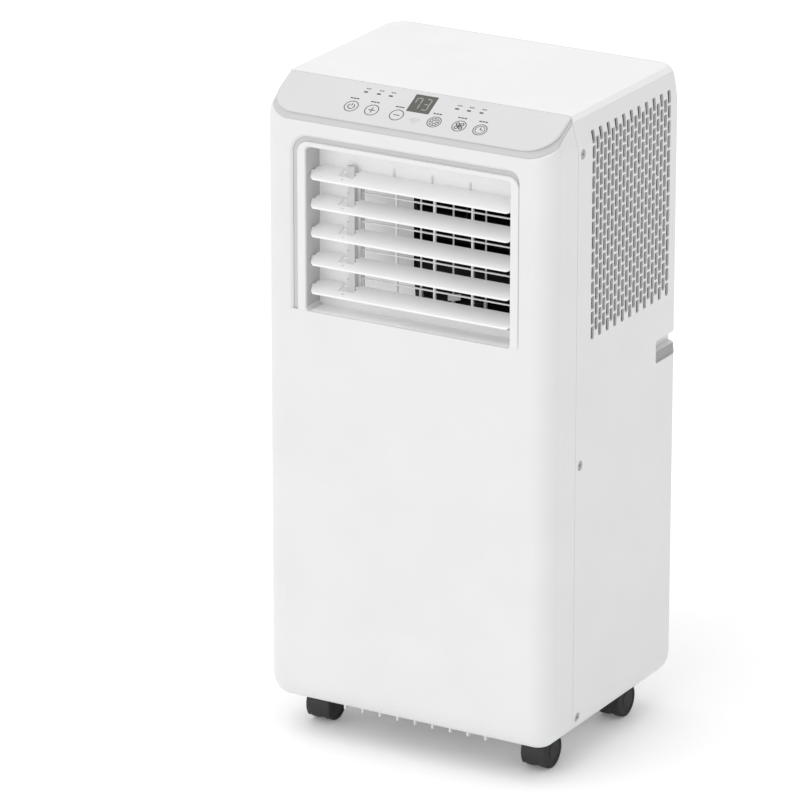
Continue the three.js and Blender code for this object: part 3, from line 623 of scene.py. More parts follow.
FILTER_DOOR = (-130.0, 92.0, 445.0, 645.0)
REAR_GRILLE = (-112.0, 112.0, 84.0, 250.0)
DRAINS = {"lower": (0.0, 66.0), "upper": (110.0, 420.0)}
EXHAUST_Z = 335.0
CORD = (132.0, 110.0)


def rear_openings():
    def hole(outline):
        return prism(outline, "y", BACK - 9, BACK + 3)

    covers = [hole(rounded(u0 - 0.4, u1 + 0.4, v0 - 0.4, v1 + 0.4, 5))
              for u0, u1, v0, v1 in (FILTER_DOOR, REAR_GRILLE)]
    drains = [hole(circle(*at, 7.5)) for at in DRAINS.values()]
    return joined([*covers, hole(circle(0, EXHAUST_Z, 67.5, 72)), hole(circle(*CORD, 6.5)), *drains])


def lid():
    cover = keep(casing(0.0), box(*ACROSS, LID_FRONT, LID_BACK, LID_LOW, HEIGHT + 5))
    # The top cover takes the lighter white: painted light.
    piece("top_cover", cover, LID_WHITE_PAINTED_LIGHT, ["lid"], bevel=0.9, segments=3)


def case_screw(side, z, name):
    profile = [(1.7, 150), (1.7, 158.5), (4.1, 158.6), (4.1, 159.0), (3.4, 159.35), (1.2, 159.55)]
    head = raw_object(disc(profile, "x", SCREW_Y, z, 32))
    for width, height in ((0.8, 4.4), (4.4, 0.8)):
        carve(head, box(158.7, 161, SCREW_Y - width / 2, SCREW_Y + width / 2, z - height / 2, z + height / 2))
    if side < 0:
        head.data.transform(Matrix.Scale(-1, 4, (1, 0, 0)))
        head.data.flip_normals()
    piece("screw_" + name, head, STEEL, ["case_screw_" + name])


front_cover()
rear_cover()
lid()
for place, sign in (("right", 1), ("left", -1)):
    for number, height in enumerate(SCREW_Z, 1):
        case_screw(sign, height, f"{place}_{number}")


# ---- control panel, in the slope's own frame: u across, v up the slope, w out of it ----
PANEL_RADIUS = 30.0


def panel_form(levels):
    """Joins the panel's outline at each (w, inset); the top edge stays upright against the lid."""
    rings = []
    for w, inset in levels:
        top = (LID_FRONT - 0.3 - PANEL_Y + w * sin(SLOPE)) / cos(SLOPE) - 0.3 * max(inset, 0)
        half, radius = PANEL_HALF - inset, PANEL_RADIUS - inset
        rings.append([(u, v, w) for u, v in
                      rounded(-half, half, inset - PANEL_LIP, top, radius, radius, 1, 1, steps=12)])
    return loft(rings)


def control_deck():
    """The raised plate with its display opening."""
    levels = [(-2.8, 0.9), (-2.4, 0.9), (-2.0, 0), (-1.3, 0.05), (-0.8, 0.3), (-0.35, 0.8), (-0.1, 1.3),
              (0, 2.0)]
    deck = keep(raw_object(on_slope(panel_form(levels))), tower(SKIN))
    (u0, u1), (v0, v1) = DISPLAY
    rim = DISPLAY_RIM - 0.15
    carve(deck, on_slope(prism(rounded(u0 + rim, u1 - rim, v0 + rim, v1 - rim, 0.8), "z", -1.7, 3)))
    carve(deck, on_slope(box(u0 + 1, u1 - 1, v0 + 1, v1 - 1, -15, 0)))
    piece("control_deck", deck, PANEL_GREY, ["control_panel"], angle=30)


def deck_skirt():
    """The band under the plate, which flares out to the casing's own outline; its darker grey is painted
    shade under the plate.
    """
    levels = [(-DECK_DROP + 0.2, -5), (-2.85, 0.9)]
    skirt = keep(raw_object(on_slope(panel_form(levels))), tower(SKIN))
    inside = rounded(-PANEL_HALF + 9, PANEL_HALF - 9, 9, 44, 14, 14, 1, 1)
    carve(skirt, on_slope(prism(inside, "z", -15, 0)))
    piece("deck_skirt", skirt, SKIRT_PAINTED_SHADE, angle=30)


DISPLAY = ((-12.0, 13.5), (20.0, 45.0))
DISPLAY_RIM = 0.6


def display_window():
    (u0, u1), (v0, v1) = DISPLAY
    levels = ((-1.5, DISPLAY_RIM), (-0.35, DISPLAY_RIM), (-0.1, DISPLAY_RIM + 0.15), (0, DISPLAY_RIM + 0.5))
    lens = layers("z", lambda g: rounded(u0 + g, u1 - g, v0 + g, v1 - g, 0.7), levels)
    piece("display_window", on_slope(lens), LENS, ["display_lens"])


SEGMENTS = {"top": ((0, 2), (1, 2)), "upper_left": ((0, 1), (0, 2)), "upper_right": ((1, 1), (1, 2)),
            "middle": ((0, 1), (1, 1)), "lower_right": ((1, 0), (1, 1)), "bottom": ((0, 0), (1, 0))}
DIGIT_SEGMENTS = {7: ("top", "upper_right", "lower_right", "upper_left"),
                  3: ("top", "upper_right", "middle", "lower_right", "bottom")}


def digit(number, u, v, width=5.6, height=7.4, gap=0.5):
    bars = []
    for name in DIGIT_SEGMENTS[number]:
        (a, b), (c, d) = SEGMENTS[name]
        start = Vector((u + a * width, v + b * height))
        end = Vector((u + c * width, v + d * height))
        along = (end - start).normalized() * gap
        bars.append(ribbon([tuple(start + along), tuple(end - along)], 0.9, 0.0, 0.05))
    return joined(bars)


def display_digits():
    part = joined([digit(7, -7.4, 25.1), digit(3, 2.6, 25.1)])
    piece("display_digits", on_slope(part), DIGITS)


def stroke(points, width=0.95, closed=False):
    return ribbon(points, width, -0.02, 0.06, closed)


def icon_power(u, v):
    return [stroke(arc(u, v, 3.4, 128, 412, 20)), stroke([(u, v + 0.6), (u, v + 4.4)])]


def icon_plus(u, v):
    arms = [[(u - 3.6, v), (u + 3.6, v)], [(u, v + 3.6), (u, v + 0.5)], [(u, v - 0.5), (u, v - 3.6)]]
    return [stroke(arm) for arm in arms]


def icon_minus(u, v):
    return [stroke([(u - 3.2, v), (u + 3.2, v)])]


def icon_mode(u, v):
    parts = [stroke(circle(u, v, radius, steps), 0.7, True) for radius, steps in ((2.0, 20), (5.0, 28))]
    for k in range(8):
        turn = radians(45 * k)
        ray = [(u + r * cos(turn), v + r * sin(turn)) for r in (2.6, 4.4)]
        parts.append(stroke(ray, 0.8))
    return parts


def icon_fan(u, v):
    parts = [stroke(circle(u, v, 0.8, 12), 0.7, True)]
    for k in range(4):
        turn = radians(90 * k + 45)
        petal = circle(u + 3.3 * cos(turn), v + 3.3 * sin(turn), 1.7, 15)
        parts.append(stroke(petal, 1.1, True))
    return parts


def icon_clock(u, v):
    hands = [stroke([(u, v + 3.2), (u, v)]), stroke([(u + 0.4, v), (u + 3.0, v)])]
    return [stroke(circle(u, v, 4.9, 28), 0.7, True), *hands]


def icon_waves(u, v):
    waves = [stroke(arc(u, v - 3.4, r, 35, 145, 10), 0.8) for r in (2.4, 4.6, 6.8)]
    return waves + [stroke([(u - 1, v - 3.6), (u + 1, v - 3.6)], 1.0)]


KEYS = ((-69.0, 14.7, icon_power), (-46.0, 14.0, icon_plus), (-18.0, 13.0, icon_minus),
        (23.8, 12.2, icon_mode), (51.0, 12.4, icon_fan), (74.0, 12.0, icon_clock))
KEY_RADIUS = 7.0
LIGHTS = ((-63.7, 36.2), (-49.4, 36.2), (-36.1, 36.2), (38.0, 33.9), (51.0, 33.9), (64.7, 33.9))


def label(u, v, width):
    """A row of short dashes in place of a printed word."""
    count = 3
    step = width / count
    return [stroke([(u - width / 2 + step * i + 0.35, v), (u - width / 2 + step * (i + 1) - 0.35, v)], 1.5)
            for i in range(count)]


def printed_marks():
    marks = []
    for u, v, icon in KEYS:
        marks.append(stroke(circle(u, v, KEY_RADIUS, 48), 0.85, True))
        marks += icon(u, v) + label(u - 1.5, v + 11.0, 10.0)
    for u, v in LIGHTS:
        marks.append(stroke([(u - 2.1, v), (u + 2.1, v)], 1.9))
        marks += label(u + 1.0, v + 4.8, 5.4)
    piece("printed_marks", on_slope(joined(marks)), INK)
    piece("pale_mark", on_slope(joined(icon_waves(3.4, 9.4))), PALE_INK)


# ---- air outlet ----
def louvre_surround():
    def grown(u0, u1, v0, v1, radii, levels):
        def outline(more):
            grown_radii = [max(radius + more, 0.3) for radius in radii]
            return rounded(u0 - more, u1 + more, v0 - more, v1 + more, *grown_radii, steps=10)

        return layers("y", outline, levels)

    sill = POCKET_Z[0]
    frame_box = (FRAME_LEFT, FRAME_RIGHT, sill - 6, FRAME_HIGH, (1, 1, 12, 12))
    flange_box = (FRAME_LEFT - 11, FRAME_RIGHT + 3, sill - 2, FRAME_HIGH + 10, (3, 3, 3, 3))
    pocket = (*POCKET_X, *POCKET_Z, (4, 4, 4, 4))
    bezel = grown(*frame_box, [(FRONT, -1.3), (FRONT + 0.25, -0.6), (FRONT + 0.9, -0.1), (FRONT + 1.6, 0),
                               (FRONT + 4, 0)])
    surround = raw_object(bezel)
    add(surround, grown(*pocket, [(FRONT + 3, 2.5), (POCKET_REAR, 2.5)]))
    flange = raw_object(grown(*flange_box, [(FRONT + 2.9, 0), (FRONT + 4.5, 0)]))
    carve(flange, grown(*frame_box, [(FRONT, 0.02), (FRONT + 6, 0.02)]))
    carve(flange, box(-HALF, HALF, FRONT, FRONT + 6, sill - 9, sill + 0.1))
    # The flange shows only in the groove; its darker grey is painted shade.
    piece("surround_groove", flange, GROOVE_PAINTED_SHADE)
    back = FRONT + POCKET_DEPTH
    cuts = [grown(*pocket, [(FRONT - 1, 1.3), (FRONT, 0.9), (FRONT + 0.5, 0.3), (FRONT + 1.4, 0), (back, 0)]),
            box(-HALF, HALF, FRONT - 2, FRONT + 2.8, sill - 9, sill + 0.1),
            prism(rounded(*DUCT_X, *DUCT_Z, 1.5), "y", back - 2, back + 9),
            joined([rod("x", BLADE_Y, z, BLADE_BORE, -130, 130, 16) for z in BLADE_Z])]
    carve(surround, *cuts)
    for x in GUARD_X:
        rib = [(back + y, DUCT_Z[1] + z) for y, z in ((0.5, 1), (-2.2, 1), (-2.2, 7), (0.5, 12))]
        add(surround, prism(rib, "x", x - 0.9, x + 0.9))
    piece("louvre_surround", surround, INNER_WHITE, ["louvre_frame"], angle=32)


def pocket_lining():
    """Thin sheets on the louvre pocket's back wall, floor and left wall: the back wall and floor glow with
    painted light, the left wall is darker with painted shade.
    """
    back = FRONT + POCKET_DEPTH
    (u0, u1), (v0, v1) = POCKET_X, POCKET_Z
    outline = rounded(u0 + 0.1, u1 - 0.1, v0 + 0.1, v1 - 0.1, 4)
    wall = raw_object(prism(outline, "y", back - 0.4, back - 0.02))
    carve(wall, prism(rounded(*DUCT_X, *DUCT_Z, 1.5), "y", back - 2, back + 2))
    piece("pocket_back", wall, POCKET_BACK_PAINTED_LIGHT)
    floor_sheet = box(u0 + 4, u1 - 4, FRONT + 2.9, back - 0.5, v0 + 0.02, v0 + 0.3)
    piece("pocket_floor", floor_sheet, POCKET_FLOOR_PAINTED_LIGHT)
    side = raw_object(box(u0 + 0.02, u0 + 0.3, FRONT + 2, back - 0.5, v0 + 4, v1 - 4))
    carve(side, joined([rod("x", BLADE_Y, z, BLADE_BORE, u0 - 1, u0 + 1, 16) for z in BLADE_Z]))
    piece("pocket_side", side, POCKET_SIDE_PAINTED_SHADE)


NOTCH_X = (-80.0, -64.0)


def blade_plan(inset):
    """Plan of a blade lying flat about its pivot: cut-back left end, tie-bar notch, rounded right end."""
    left, right = POCKET_X[0] + 1.7 + inset, POCKET_X[1] - 1.5 - inset
    low, high = -11.3 + inset, 12.6 - inset
    notch = -1.6 - inset
    return [(left, -5), (left + 1.6, -8.6), (left + 4.5, low),
            *arc(right - 5, low + 5, 5, 270, 360, 8), *arc(right - 1.5, high - 1.5, 1.5, 0, 90, 4),
            (NOTCH_X[1] + 1 + inset, high), (NOTCH_X[1] + inset, high - 1),
            (NOTCH_X[1] + inset, notch), (NOTCH_X[0] - inset, notch), (NOTCH_X[0] - inset, 9 - inset),
            (NOTCH_X[0] - 3 - inset, high), (left + 5, high), (left + 1.2, 8), (left, 5)]


def louvre_blade(z, name):
    levels = [(-1.25, 1.0), (-1.05, 0.5), (-0.6, 0.12), (0, 0), (0.6, 0.12), (1.05, 0.5), (1.25, 1.0)]
    camber = 1.4
    rings = [[(x, y, w + camber * (1 - (y / 13) ** 2)) for x, y in blade_plan(inset)] for w, inset in levels]
    blade = raw_object(loft(rings))
    pins = [rod("x", 0, 0, 1.8, *ends, 20) for ends in
            ((POCKET_X[0] - 3.2, POCKET_X[0] + 8), (POCKET_X[1] - 8, POCKET_X[1] + 3.2))]
    pins.append(rod("x", TIE_REACH, 0, 1.2, NOTCH_X[0] - 2.5, NOTCH_X[1] + 2.5, 16))
    collars = [rod("x", 0, 0.2, 2.9, *ends, 20) for ends in
               ((POCKET_X[0] + 0.6, POCKET_X[0] + 3.2), (POCKET_X[1] - 3.2, POCKET_X[1] - 0.6))]
    add(blade, *pins + collars)
    carve(blade, rod("z", -73, -6.2, 1.1, -4, 6, 16))
    blade.data.transform(Matrix.Translation((0, BLADE_Y * MM, z * MM)) @ Matrix.Rotation(BLADE_TILT, 4, "X"))
    piece(name, blade, BLADE_WHITE_PAINTED_LIGHT, [name], body=name, angle=30)


def tie_bar():
    name = "louvre_tie_bar"
    reach = TIE_REACH * cos(BLADE_TILT), TIE_REACH * sin(BLADE_TILT)
    y, middle = BLADE_Y + reach[0], BLADE_Z[2] + reach[1]
    bar = raw_object(box(-75.5, -66.8, y - 2.6, y + 2.6, middle - 65, middle + 65))
    for z in BLADE_Z:
        carve(bar, rod("x", y, z + reach[1], 1.6, -80, -60, 20))
    for z in BLADE_Z[1:]:
        notch = z + reach[1] + BLADE_PITCH / 2
        carve(bar, box(-77, -73.2, y - 4, y + 4, notch - 6, notch + 6))
    piece(name, bar, SHADE_GREY, [name], body=name, bevel=0.35)


def outlet_guard():
    (x0, y0, z0), (x1, y1, z1) = box_mm("outlet_guard")
    guard = raw_object(box(x0, x1, y0, y1, z0, z1))
    carve(guard, box(*DUCT_X, y0 - 2, y1 + 2, *DUCT_Z))
    for x in GUARD_X:
        bar = rounded(x - 1.1, x + 1.1, y0 + 0.2, y1 - 0.2, 0.8)
        add(guard, prism(bar, "z", DUCT_Z[0] - 2, DUCT_Z[1] + 2))
    for z in [height - RUNG_DROP for height in BLADE_Z[:4]] + [LOW_RUNG_Z]:
        rung = rounded(y0 + 0.2, y0 + 2.2, z - 0.8, z + 0.8, 0.6)
        add(guard, prism(rung, "x", DUCT_X[0] - 2, DUCT_X[1] + 2))
    piece("guard_grid", guard, BLADE_WHITE_PAINTED_LIGHT, ["outlet_guard"])


def air_vane(x, name, has_tab):
    z0, z1 = DUCT_Z[0] + 8, DUCT_Z[1] - 4
    section = [(0.45, -13), (0.9, -8), (1.0, 0), (0.8, 8), (0.4, 13)]
    outline = section + [(-u, v) for u, v in reversed(section)]
    vane = raw_object(prism(outline, "z", z0, z1))
    pins = [rod("z", 0, 0, 2, DUCT_Z[0] - 3, z0 + 2, 20), rod("z", 0, 0, 2, z1 - 2, DUCT_Z[1] + 2.5, 20),
            rod("z", 0, LINK_REACH, 1.2, z0 - 6, z0 + 1, 16)]
    foot = [(0.45, -13), (0.9, -8), (1.0, 1), (-1.0, 1), (-0.9, -8), (-0.45, -13)]
    pins.append(prism(foot, "z", DUCT_Z[0] + 1.5, z0 + 1))
    if has_tab:
        knob = [(-5.5, -20), (4, -20), (7, -18.6), (4, -17), (-5.5, -17)]
        pins += [prism(knob, "z", z0 + 4, z0 + 10), box(-0.8, 0.8, -18, -12, z0 + 4.5, z0 + 9.5)]
    add(vane, *pins)
    vane.data.transform(Matrix.Translation((x * MM, VANE_Y * MM, 0)) @ Matrix.Rotation(VANE_TURN, 4, "Z"))
    piece(name, vane, PALE_GREY, [name], body=name, bevel=0.25)


def vane_link():
    x, y = VANE_X[1] - LINK_REACH * sin(VANE_TURN), VANE_Y + LINK_REACH * cos(VANE_TURN)
    low = DUCT_Z[0] + 3
    bar = raw_object(prism(rounded(x - 41, x + 41, y - 3, y + 3, 2.8), "z", low, low + 3))
    for across in VANE_X:
        carve(bar, rod("z", x + across - VANE_X[1], y, 1.7, low - 2, low + 5, 20))
    piece("link_bar", bar, DEEP_BLACK, ["vane_link"], body="vane_link", bevel=0.4)


# ---- duct, scroll and fan ----
(_, DUCT_START, _), _ = box_mm("fan_scroll")
(_, FAN_LOW, _), (_, FAN_HIGH, FAN_TOP) = box_mm("fan_wheel")
FAN_Y = (FAN_LOW + FAN_HIGH) / 2
FAN_RADIUS = (FAN_HIGH - FAN_LOW) / 2
FAN_Z = FAN_TOP - FAN_RADIUS
FAN_BLADES = 34


def strip(path, thickness):
    """A bent sheet: a path, and the same path moved to its right by the thickness."""
    far = []
    for i, (u, v) in enumerate(path):
        (u0, v0), (u1, v1) = path[max(i - 1, 0)], path[min(i + 1, len(path) - 1)]
        length = hypot(u1 - u0, v1 - v0)
        far.append((u + thickness * (v1 - v0) / length, v - thickness * (u1 - u0) / length))
    return path + far[::-1]


def duct():
    x0, x1 = DUCT_X[0] - 2, DUCT_X[1] + 2
    floor = [(DUCT_START, DUCT_Z[0]), (-13, DUCT_Z[0]), *arc(FAN_Y, FAN_Z, FAN_RADIUS + 6, -115, 30, 24)]
    roof = [(-2, 570), (-12, 577), (-24, 584), (-40, DUCT_Z[1]), (DUCT_START, DUCT_Z[1])]
    scroll = raw_object(prism(strip(floor, 2), "x", x0, x1))
    rear = FAN_Y + FAN_RADIUS + 9
    walls = [box(*ends, DUCT_START, rear, DUCT_Z[0] - 2, DUCT_Z[1] + 2)
             for ends in ((x0, x0 + 2), (x1 - 2, x1))]
    add(scroll, prism(strip(roof, 2), "x", x0, x1), *walls)
    carve(scroll, joined([rod("z", x, VANE_Y, 2.5, DUCT_Z[0] - 5, DUCT_Z[1] + 5, 20) for x in VANE_X]),
          rod("x", FAN_Y, FAN_Z, 9, x0 - 1, x0 + 3), rod("x", FAN_Y, FAN_Z, 4.5, x1 - 3, x1 + 1))
    piece("duct_scroll", scroll, DEEP_BLACK, ["fan_scroll"], bevel=0.3)
    # Liner sheets on the duct's left wall and floor, which glow: painted light.
    outline = rounded(DUCT_START + 0.2, FAN_LOW - 1, DUCT_Z[0] + 0.1, DUCT_Z[1] - 0.1, 0.8)
    piece("duct_liner", prism(outline, "x", x0 + 2.05, x0 + 3.2), DUCT_LINER_PAINTED_LIGHT, bevel=0.3)
    corner = [(x0 + 3.4, DUCT_START + 0.3), (-7, DUCT_START + 0.3), (x0 + 3.4, FAN_LOW - 1)]
    piece("duct_floor_liner", prism(corner, "z", DUCT_Z[0] + 0.1, DUCT_Z[0] + 0.4), DUCT_LINER_PAINTED_LIGHT)


def fan_wheel():
    x0, x1 = DUCT_X[0] + 2, DUCT_X[1] - 2
    parts = []
    on_axle = Matrix(((0, 0, 1, 0), (1, 0, 0, FAN_Y), (0, 1, 0, FAN_Z), (0, 0, 0, 1)))
    for k in range(FAN_BLADES):
        turn = Matrix.Rotation(2 * pi * k / FAN_BLADES, 3, "Z")
        curve = [turn @ Vector((FAN_RADIUS - 9.4 + 1.7 * i, 2.2 * sin(pi * i / 5), 0)) for i in range(6)]
        parts.append(moved(ribbon([(c.x, c.y) for c in curve], 0.9, x0 + 1, x1 - 1), on_axle))
    inner = FAN_RADIUS - 12
    for x in (x0, x0 + 57, x0 + 112, x1 - 1.8):
        section = [(inner, x), (FAN_RADIUS, x), (FAN_RADIUS, x + 1.8), (inner, x + 1.8)]
        parts.append(lathe(section, "x", FAN_Y, FAN_Z))
    for x in (x0, x1 - 1.8):
        parts.append(rod("x", FAN_Y, FAN_Z, FAN_RADIUS - 11.9, x + 0.1, x + 1.7))
    parts.append(rod("x", FAN_Y, FAN_Z, 4, x1 - 1, x1 + 8, 24))
    piece("fan_drum", joined(parts), DEEP_BLACK, ["fan_wheel"], body="fan_wheel")


# ---- filters ----
def framed_net(node, axis, name, net_finish):
    (x0, y0, z0), (x1, y1, z1) = box_mm(node)
    low, high = (x0, x1) if axis == "x" else (y0, y1)
    u0, u1 = (y0, y1) if axis == "x" else (x0, x1)
    middle = (low + high) / 2
    rim = raw_object(prism(rounded(u0, u1, z0, z1, 2), axis, low, high))
    carve(rim, prism(rounded(u0 + 5, u1 - 5, z0 + 5, z1 - 5, 2), axis, low - 1, high + 1))
    for k in range(1, 4):
        u = u0 + (u1 - u0) * k / 4
        bar = [(u - 1, z0 + 4), (u + 1, z0 + 4), (u + 1, z1 - 4), (u - 1, z1 - 4)]
        add(rim, prism(bar, axis, low + 1, high - 1))
    body = "filter_door" if axis == "y" else HOUSING
    piece(name + "_rim", rim, NET_RIM, [node], body=body, bevel=0.3)
    net = prism(rounded(u0 + 4, u1 - 4, z0 + 4, z1 - 4, 2), axis, middle - 0.35, middle + 0.35)
    piece(name + "_net", net, net_finish, body=body)


# ---- hand recesses: dark pads on their shelves, painted shade ----
def shelf_shade_pad(side, name):
    z0, _ = HANDLE["z"]
    shade_pad = [(HALF - 1.7, z0 + 0.3), (HALF - 2.7, z0 + 9.9), (HALF - 3.4, z0 + 9.9), (HALF - 2.5, z0 + 0.3)]
    part = loft([[(side * x, y, z) for x, z in shade_pad] for y in (HANDLE["y"] + 3.2, BACK - 5)])
    piece("shelf_shade_pad_" + name, part, GRIP_PAINTED_SHADE, bevel=0.25)


# ---- back ----
def exhaust_collar():
    inner, outer, flange = 63, 66, 77
    profile = [(inner, COLLAR_START), (outer, COLLAR_START), (outer, BACK + 0.3), (flange, BACK + 0.3),
               (flange, BACK + 2.2), (flange - 1.2, BACK + 3.3), (outer + 1.5, BACK + 3.3),
               (outer + 0.2, BACK + 4.4), (outer, REAR - 1), (outer - 0.8, REAR), (inner + 0.8, REAR),
               (inner, REAR - 0.8)]
    collar = raw_object(lathe(profile, "y", 0, EXHAUST_Z, 96))
    for k in range(3):
        turn = radians(120 * k + 30)
        at = Matrix.Translation((0, 0, EXHAUST_Z)) @ Matrix.Rotation(turn, 4, "Y")
        add(collar, moved(prism(rounded(59.5, 64, -8, 8, 1.5), "y", BACK + 1, BACK + 4), at))
    piece("exhaust_port", collar, WHITE, ["exhaust_collar"], bevel=0.3)


SLAT = ((-2.9, -1.2), (-1.9, -2.8), (-0.4, -2.8), (-0.4, -1.6), (-1.7, 0.6), (-2.9, 0.6))


def rear_grille():
    u0, u1, v0, v1 = REAR_GRILLE
    panel = raw_object(prism(rounded(u0, u1, v0, v1, 4.6), "y", BACK - 3, BACK))
    for low, high in ((u0 + 9, -3.5), (3.5, u1 - 9)):
        carve(panel, prism(rounded(low, high, v0 + 9, v1 - 9, 3), "y", BACK - 5, BACK + 2))
    count = 13
    for k in range(count):
        z = v0 + 9 + (v1 - v0 - 18) * (k + 0.5) / count
        slat = [(BACK + y, z + rise) for y, rise in SLAT]
        for low, high in ((u0 + 8, -2.5), (2.5, u1 - 8)):
            add(panel, prism(slat, "x", low, high))
    piece("rear_louvres", panel, WHITE, ["rear_grille"], bevel=0.35)


def filter_door():
    u0, u1, v0, v1 = FILTER_DOOR
    door = raw_object(prism(rounded(u0, u1, v0, v1, 4.6), "y", BACK - 3, BACK))
    slots = []
    for column in range(25):
        odd = column % 2
        for row in range(11 - odd):
            x, z = u0 + 19.2 + SLOT_PITCH * column, v0 + 23.5 + 15.3 * (row + odd / 2)
            slots.append(prism(slot_outline(x, z), "y", BACK - 5, BACK + 2))
    carve(door, joined(slots))
    for x in (u0 + 40, u1 - 40):
        carve(door, layers("y", lambda g: rounded(x - 14 + g, x + 14 - g, v1 - 12 + g, v1 - 3 - g, 3),
                           ((BACK - 2, 1.6), (BACK + 0.1, 0))))
    piece("rear_door", door, WHITE, ["filter_door"], body="filter_door", bevel=0.3, segments=1)


def remote_pocket():
    (x0, y0, z0), (x1, y1, z1) = box_mm("remote_pocket")
    holder = raw_object(layers(
        "y", lambda g: rounded(x0 + g, x1 - g, z0 + g, z1 - 0.2, 6 - g, 6 - g, 1, 1),
        ((y0, 0), (y1 - 1.6, 0), (y1 - 0.6, 0.4), (y1, 1.4))))
    carve(holder, prism(rounded(x0 + 2, x1 - 2, z0 + 2, z1 + 9, 4.5, 4.5, 1, 1), "y", y0 + 1.3, y1 - 1.6))
    middle = (x0 + x1) / 2
    carve(holder, prism(rounded(middle - 11, middle + 11, z1 - 14, z1 + 8, 8, 8, 1, 1), "y", y1 - 3, y1 + 2))
    piece("remote_holder", holder, WHITE, ["remote_pocket"], bevel=0.3)


PLUG = ((5.4, -12), (6.2, -11.2), (6.5, -9), (5.9, -7), (6.4, -5), (6.0, -2), (6.4, 0.35), (9.4, 0.35),
        (10, 1), (10, 3.4), (9.2, 4.4), (4.2, 4.5))
INLET = ((5.9, -8), (5.9, 0.3), (10, 0.3), (10, 3), (9, 4.4), (7.2, 5), (5.6, 5), (5.2, 2))


def drain_plug(name, x, z):
    body = "drain_plug_" + name
    plug = raw_object(disc([(radius, BACK + y) for radius, y in PLUG], "y", x, z))
    for k in range(12):
        turn = 2 * pi * k / 12
        notch = x + 10.6 * cos(turn), z + 10.6 * sin(turn)
        carve(plug, rod("y", *notch, 1.3, BACK + 0.9, BACK + 6, 12))
    piece(body, plug, RUBBER, [body], body=body, bevel=0.2)


def cord_inlet():
    x, z = CORD
    inlet = raw_object(disc([(radius, BACK + y) for radius, y in INLET], "y", x, z))
    for k in range(3):
        turn = radians(90 + 120 * k)
        at = x + 2.6 * cos(turn), z + 2.6 * sin(turn)
        add(inlet, rod("y", *at, 0.8, BACK + 1, BACK + 4.2, 16))
    piece("power_inlet", inlet, BLACK_PLASTIC, ["cord_inlet"], bevel=0.2)


# ---- casters ----
CASTERS = {"front_left": (-1, 0), "front_right": (1, 0), "rear_left": (-1, 1), "rear_right": (1, 1)}
TRAIL = 12.0
WHEEL = 18.0


def caster(place, side, row):
    x, y = side * CASTER_X, CASTER_Y[row]
    axle = y + TRAIL
    hood = [*arc(axle, WHEEL, 20.0, 28, 214, 30), *arc(axle, WHEEL, 17.6, 214, 28, 30)]
    edges = ((-13.4, 1.3), (-12.9, 0.5), (-12, 0), (12, 0), (12.9, 0.5), (13.4, 1.3))
    levels = [(x + u, g) for u, g in edges]
    fork = raw_object(layers("x", lambda g: hood_inset(hood, axle, g), levels))
    web = [*arc(axle, WHEEL, 8, -90, 90, 12), (axle + 8, 36), (y - 4, 36), (y - 5, WHEEL - 2)]
    collar = [(9, 33.5), (9.4, 34.3), (9.4, 37.4), (8.7, BOTTOM - 0.4)]
    add(fork, prism(web, "x", x - 2.2, x + 2.2), disc(collar, "z", x, y, 40),
        disc([(4.5, 36), (4.5, 60.5), (3.6, 62)], "z", x, y, 24))
    carve(fork, rod("x", axle, WHEEL, 3.5, x - 5, x + 5, 24))
    for low, high in ((2.6, 20), (-20, -2.6)):
        carve(fork, rod("x", axle, WHEEL, 18.5, x + low, x + high, 64))
    body = "caster_fork_" + place
    piece(body, fork, BLACK_PLASTIC, [body], body="caster_" + place, bevel=0.25)
    caster_wheels(place, x, axle)


def hood_inset(outline, axle, inset):
    """The hood's section, drawn in towards its own middle radius."""
    middle = 18.9
    points = []
    for v, w in outline:
        radius = hypot(v - axle, w - WHEEL)
        share = (radius + (inset if radius < middle else -inset)) / radius
        points.append((axle + (v - axle) * share, WHEEL + (w - WHEEL) * share))
    return points


def caster_wheels(place, x, axle):
    profile = [(3, 3), (16.4, 3), (17.6, 3.4), (18, 4.6), (18, 11), (17.5, 12.3), (16, 12.9), (14.6, 12.6),
               (13.8, 11.9), (8, 12.2), (7.2, 12.9), (3, 13)]
    parts = [disc([(r, x + side * w) for r, w in profile], "x", axle, WHEEL, 64) for side in (1, -1)]
    wheels = raw_object(parts[0])
    add(wheels, parts[1], rod("x", axle, WHEEL, 3, x - 4, x + 4, 32))
    body = "caster_wheels_" + place
    piece(body, wheels, RUBBER, [body], body=body, bevel=0.2)


# ---- base ----
PAN_FLOOR = (46.8, 49.7)


def base_pan():
    (x0, y0, low), (x1, y1, high) = box_mm("base_pan")
    foot = BOTTOM + WALL + 0.3

    def block(inset, z0, z1):
        return prism(rounded(x0 + inset, x1 - inset, y0 + inset, y1 - inset, 6), "z", z0, z1)

    pan = raw_object(block(0, PAN_FLOOR[0], high))
    carve(pan, block(WALL, PAN_FLOOR[1], high + 3))
    skirt = raw_object(block(4, foot, PAN_FLOOR[0] + 0.5))
    carve(skirt, block(4 + WALL, foot - 1, PAN_FLOOR[0] + 1))
    add(pan, skirt, *[disc([(11, foot), (11, 62), (10, 64)], "z", x, y, 32) for x, y in STEMS])
    for i in range(9):
        x = -80 + 20 * i
        rib = [(x - 0.7, low), (x + 0.7, low), (x + 1, low + 2), (x + 1, 48), (x - 1, 48), (x - 1, low + 2)]
        add(pan, loft([[(u, y, v) for u, v in rib] for y in (-116, 92)]))
    carve(pan, *[rod("z", x, y, 5, foot - 3, 66, 24) for x, y in STEMS])
    piece("base_tray", pan, BASE, ["base_pan"], bevel=0.3)


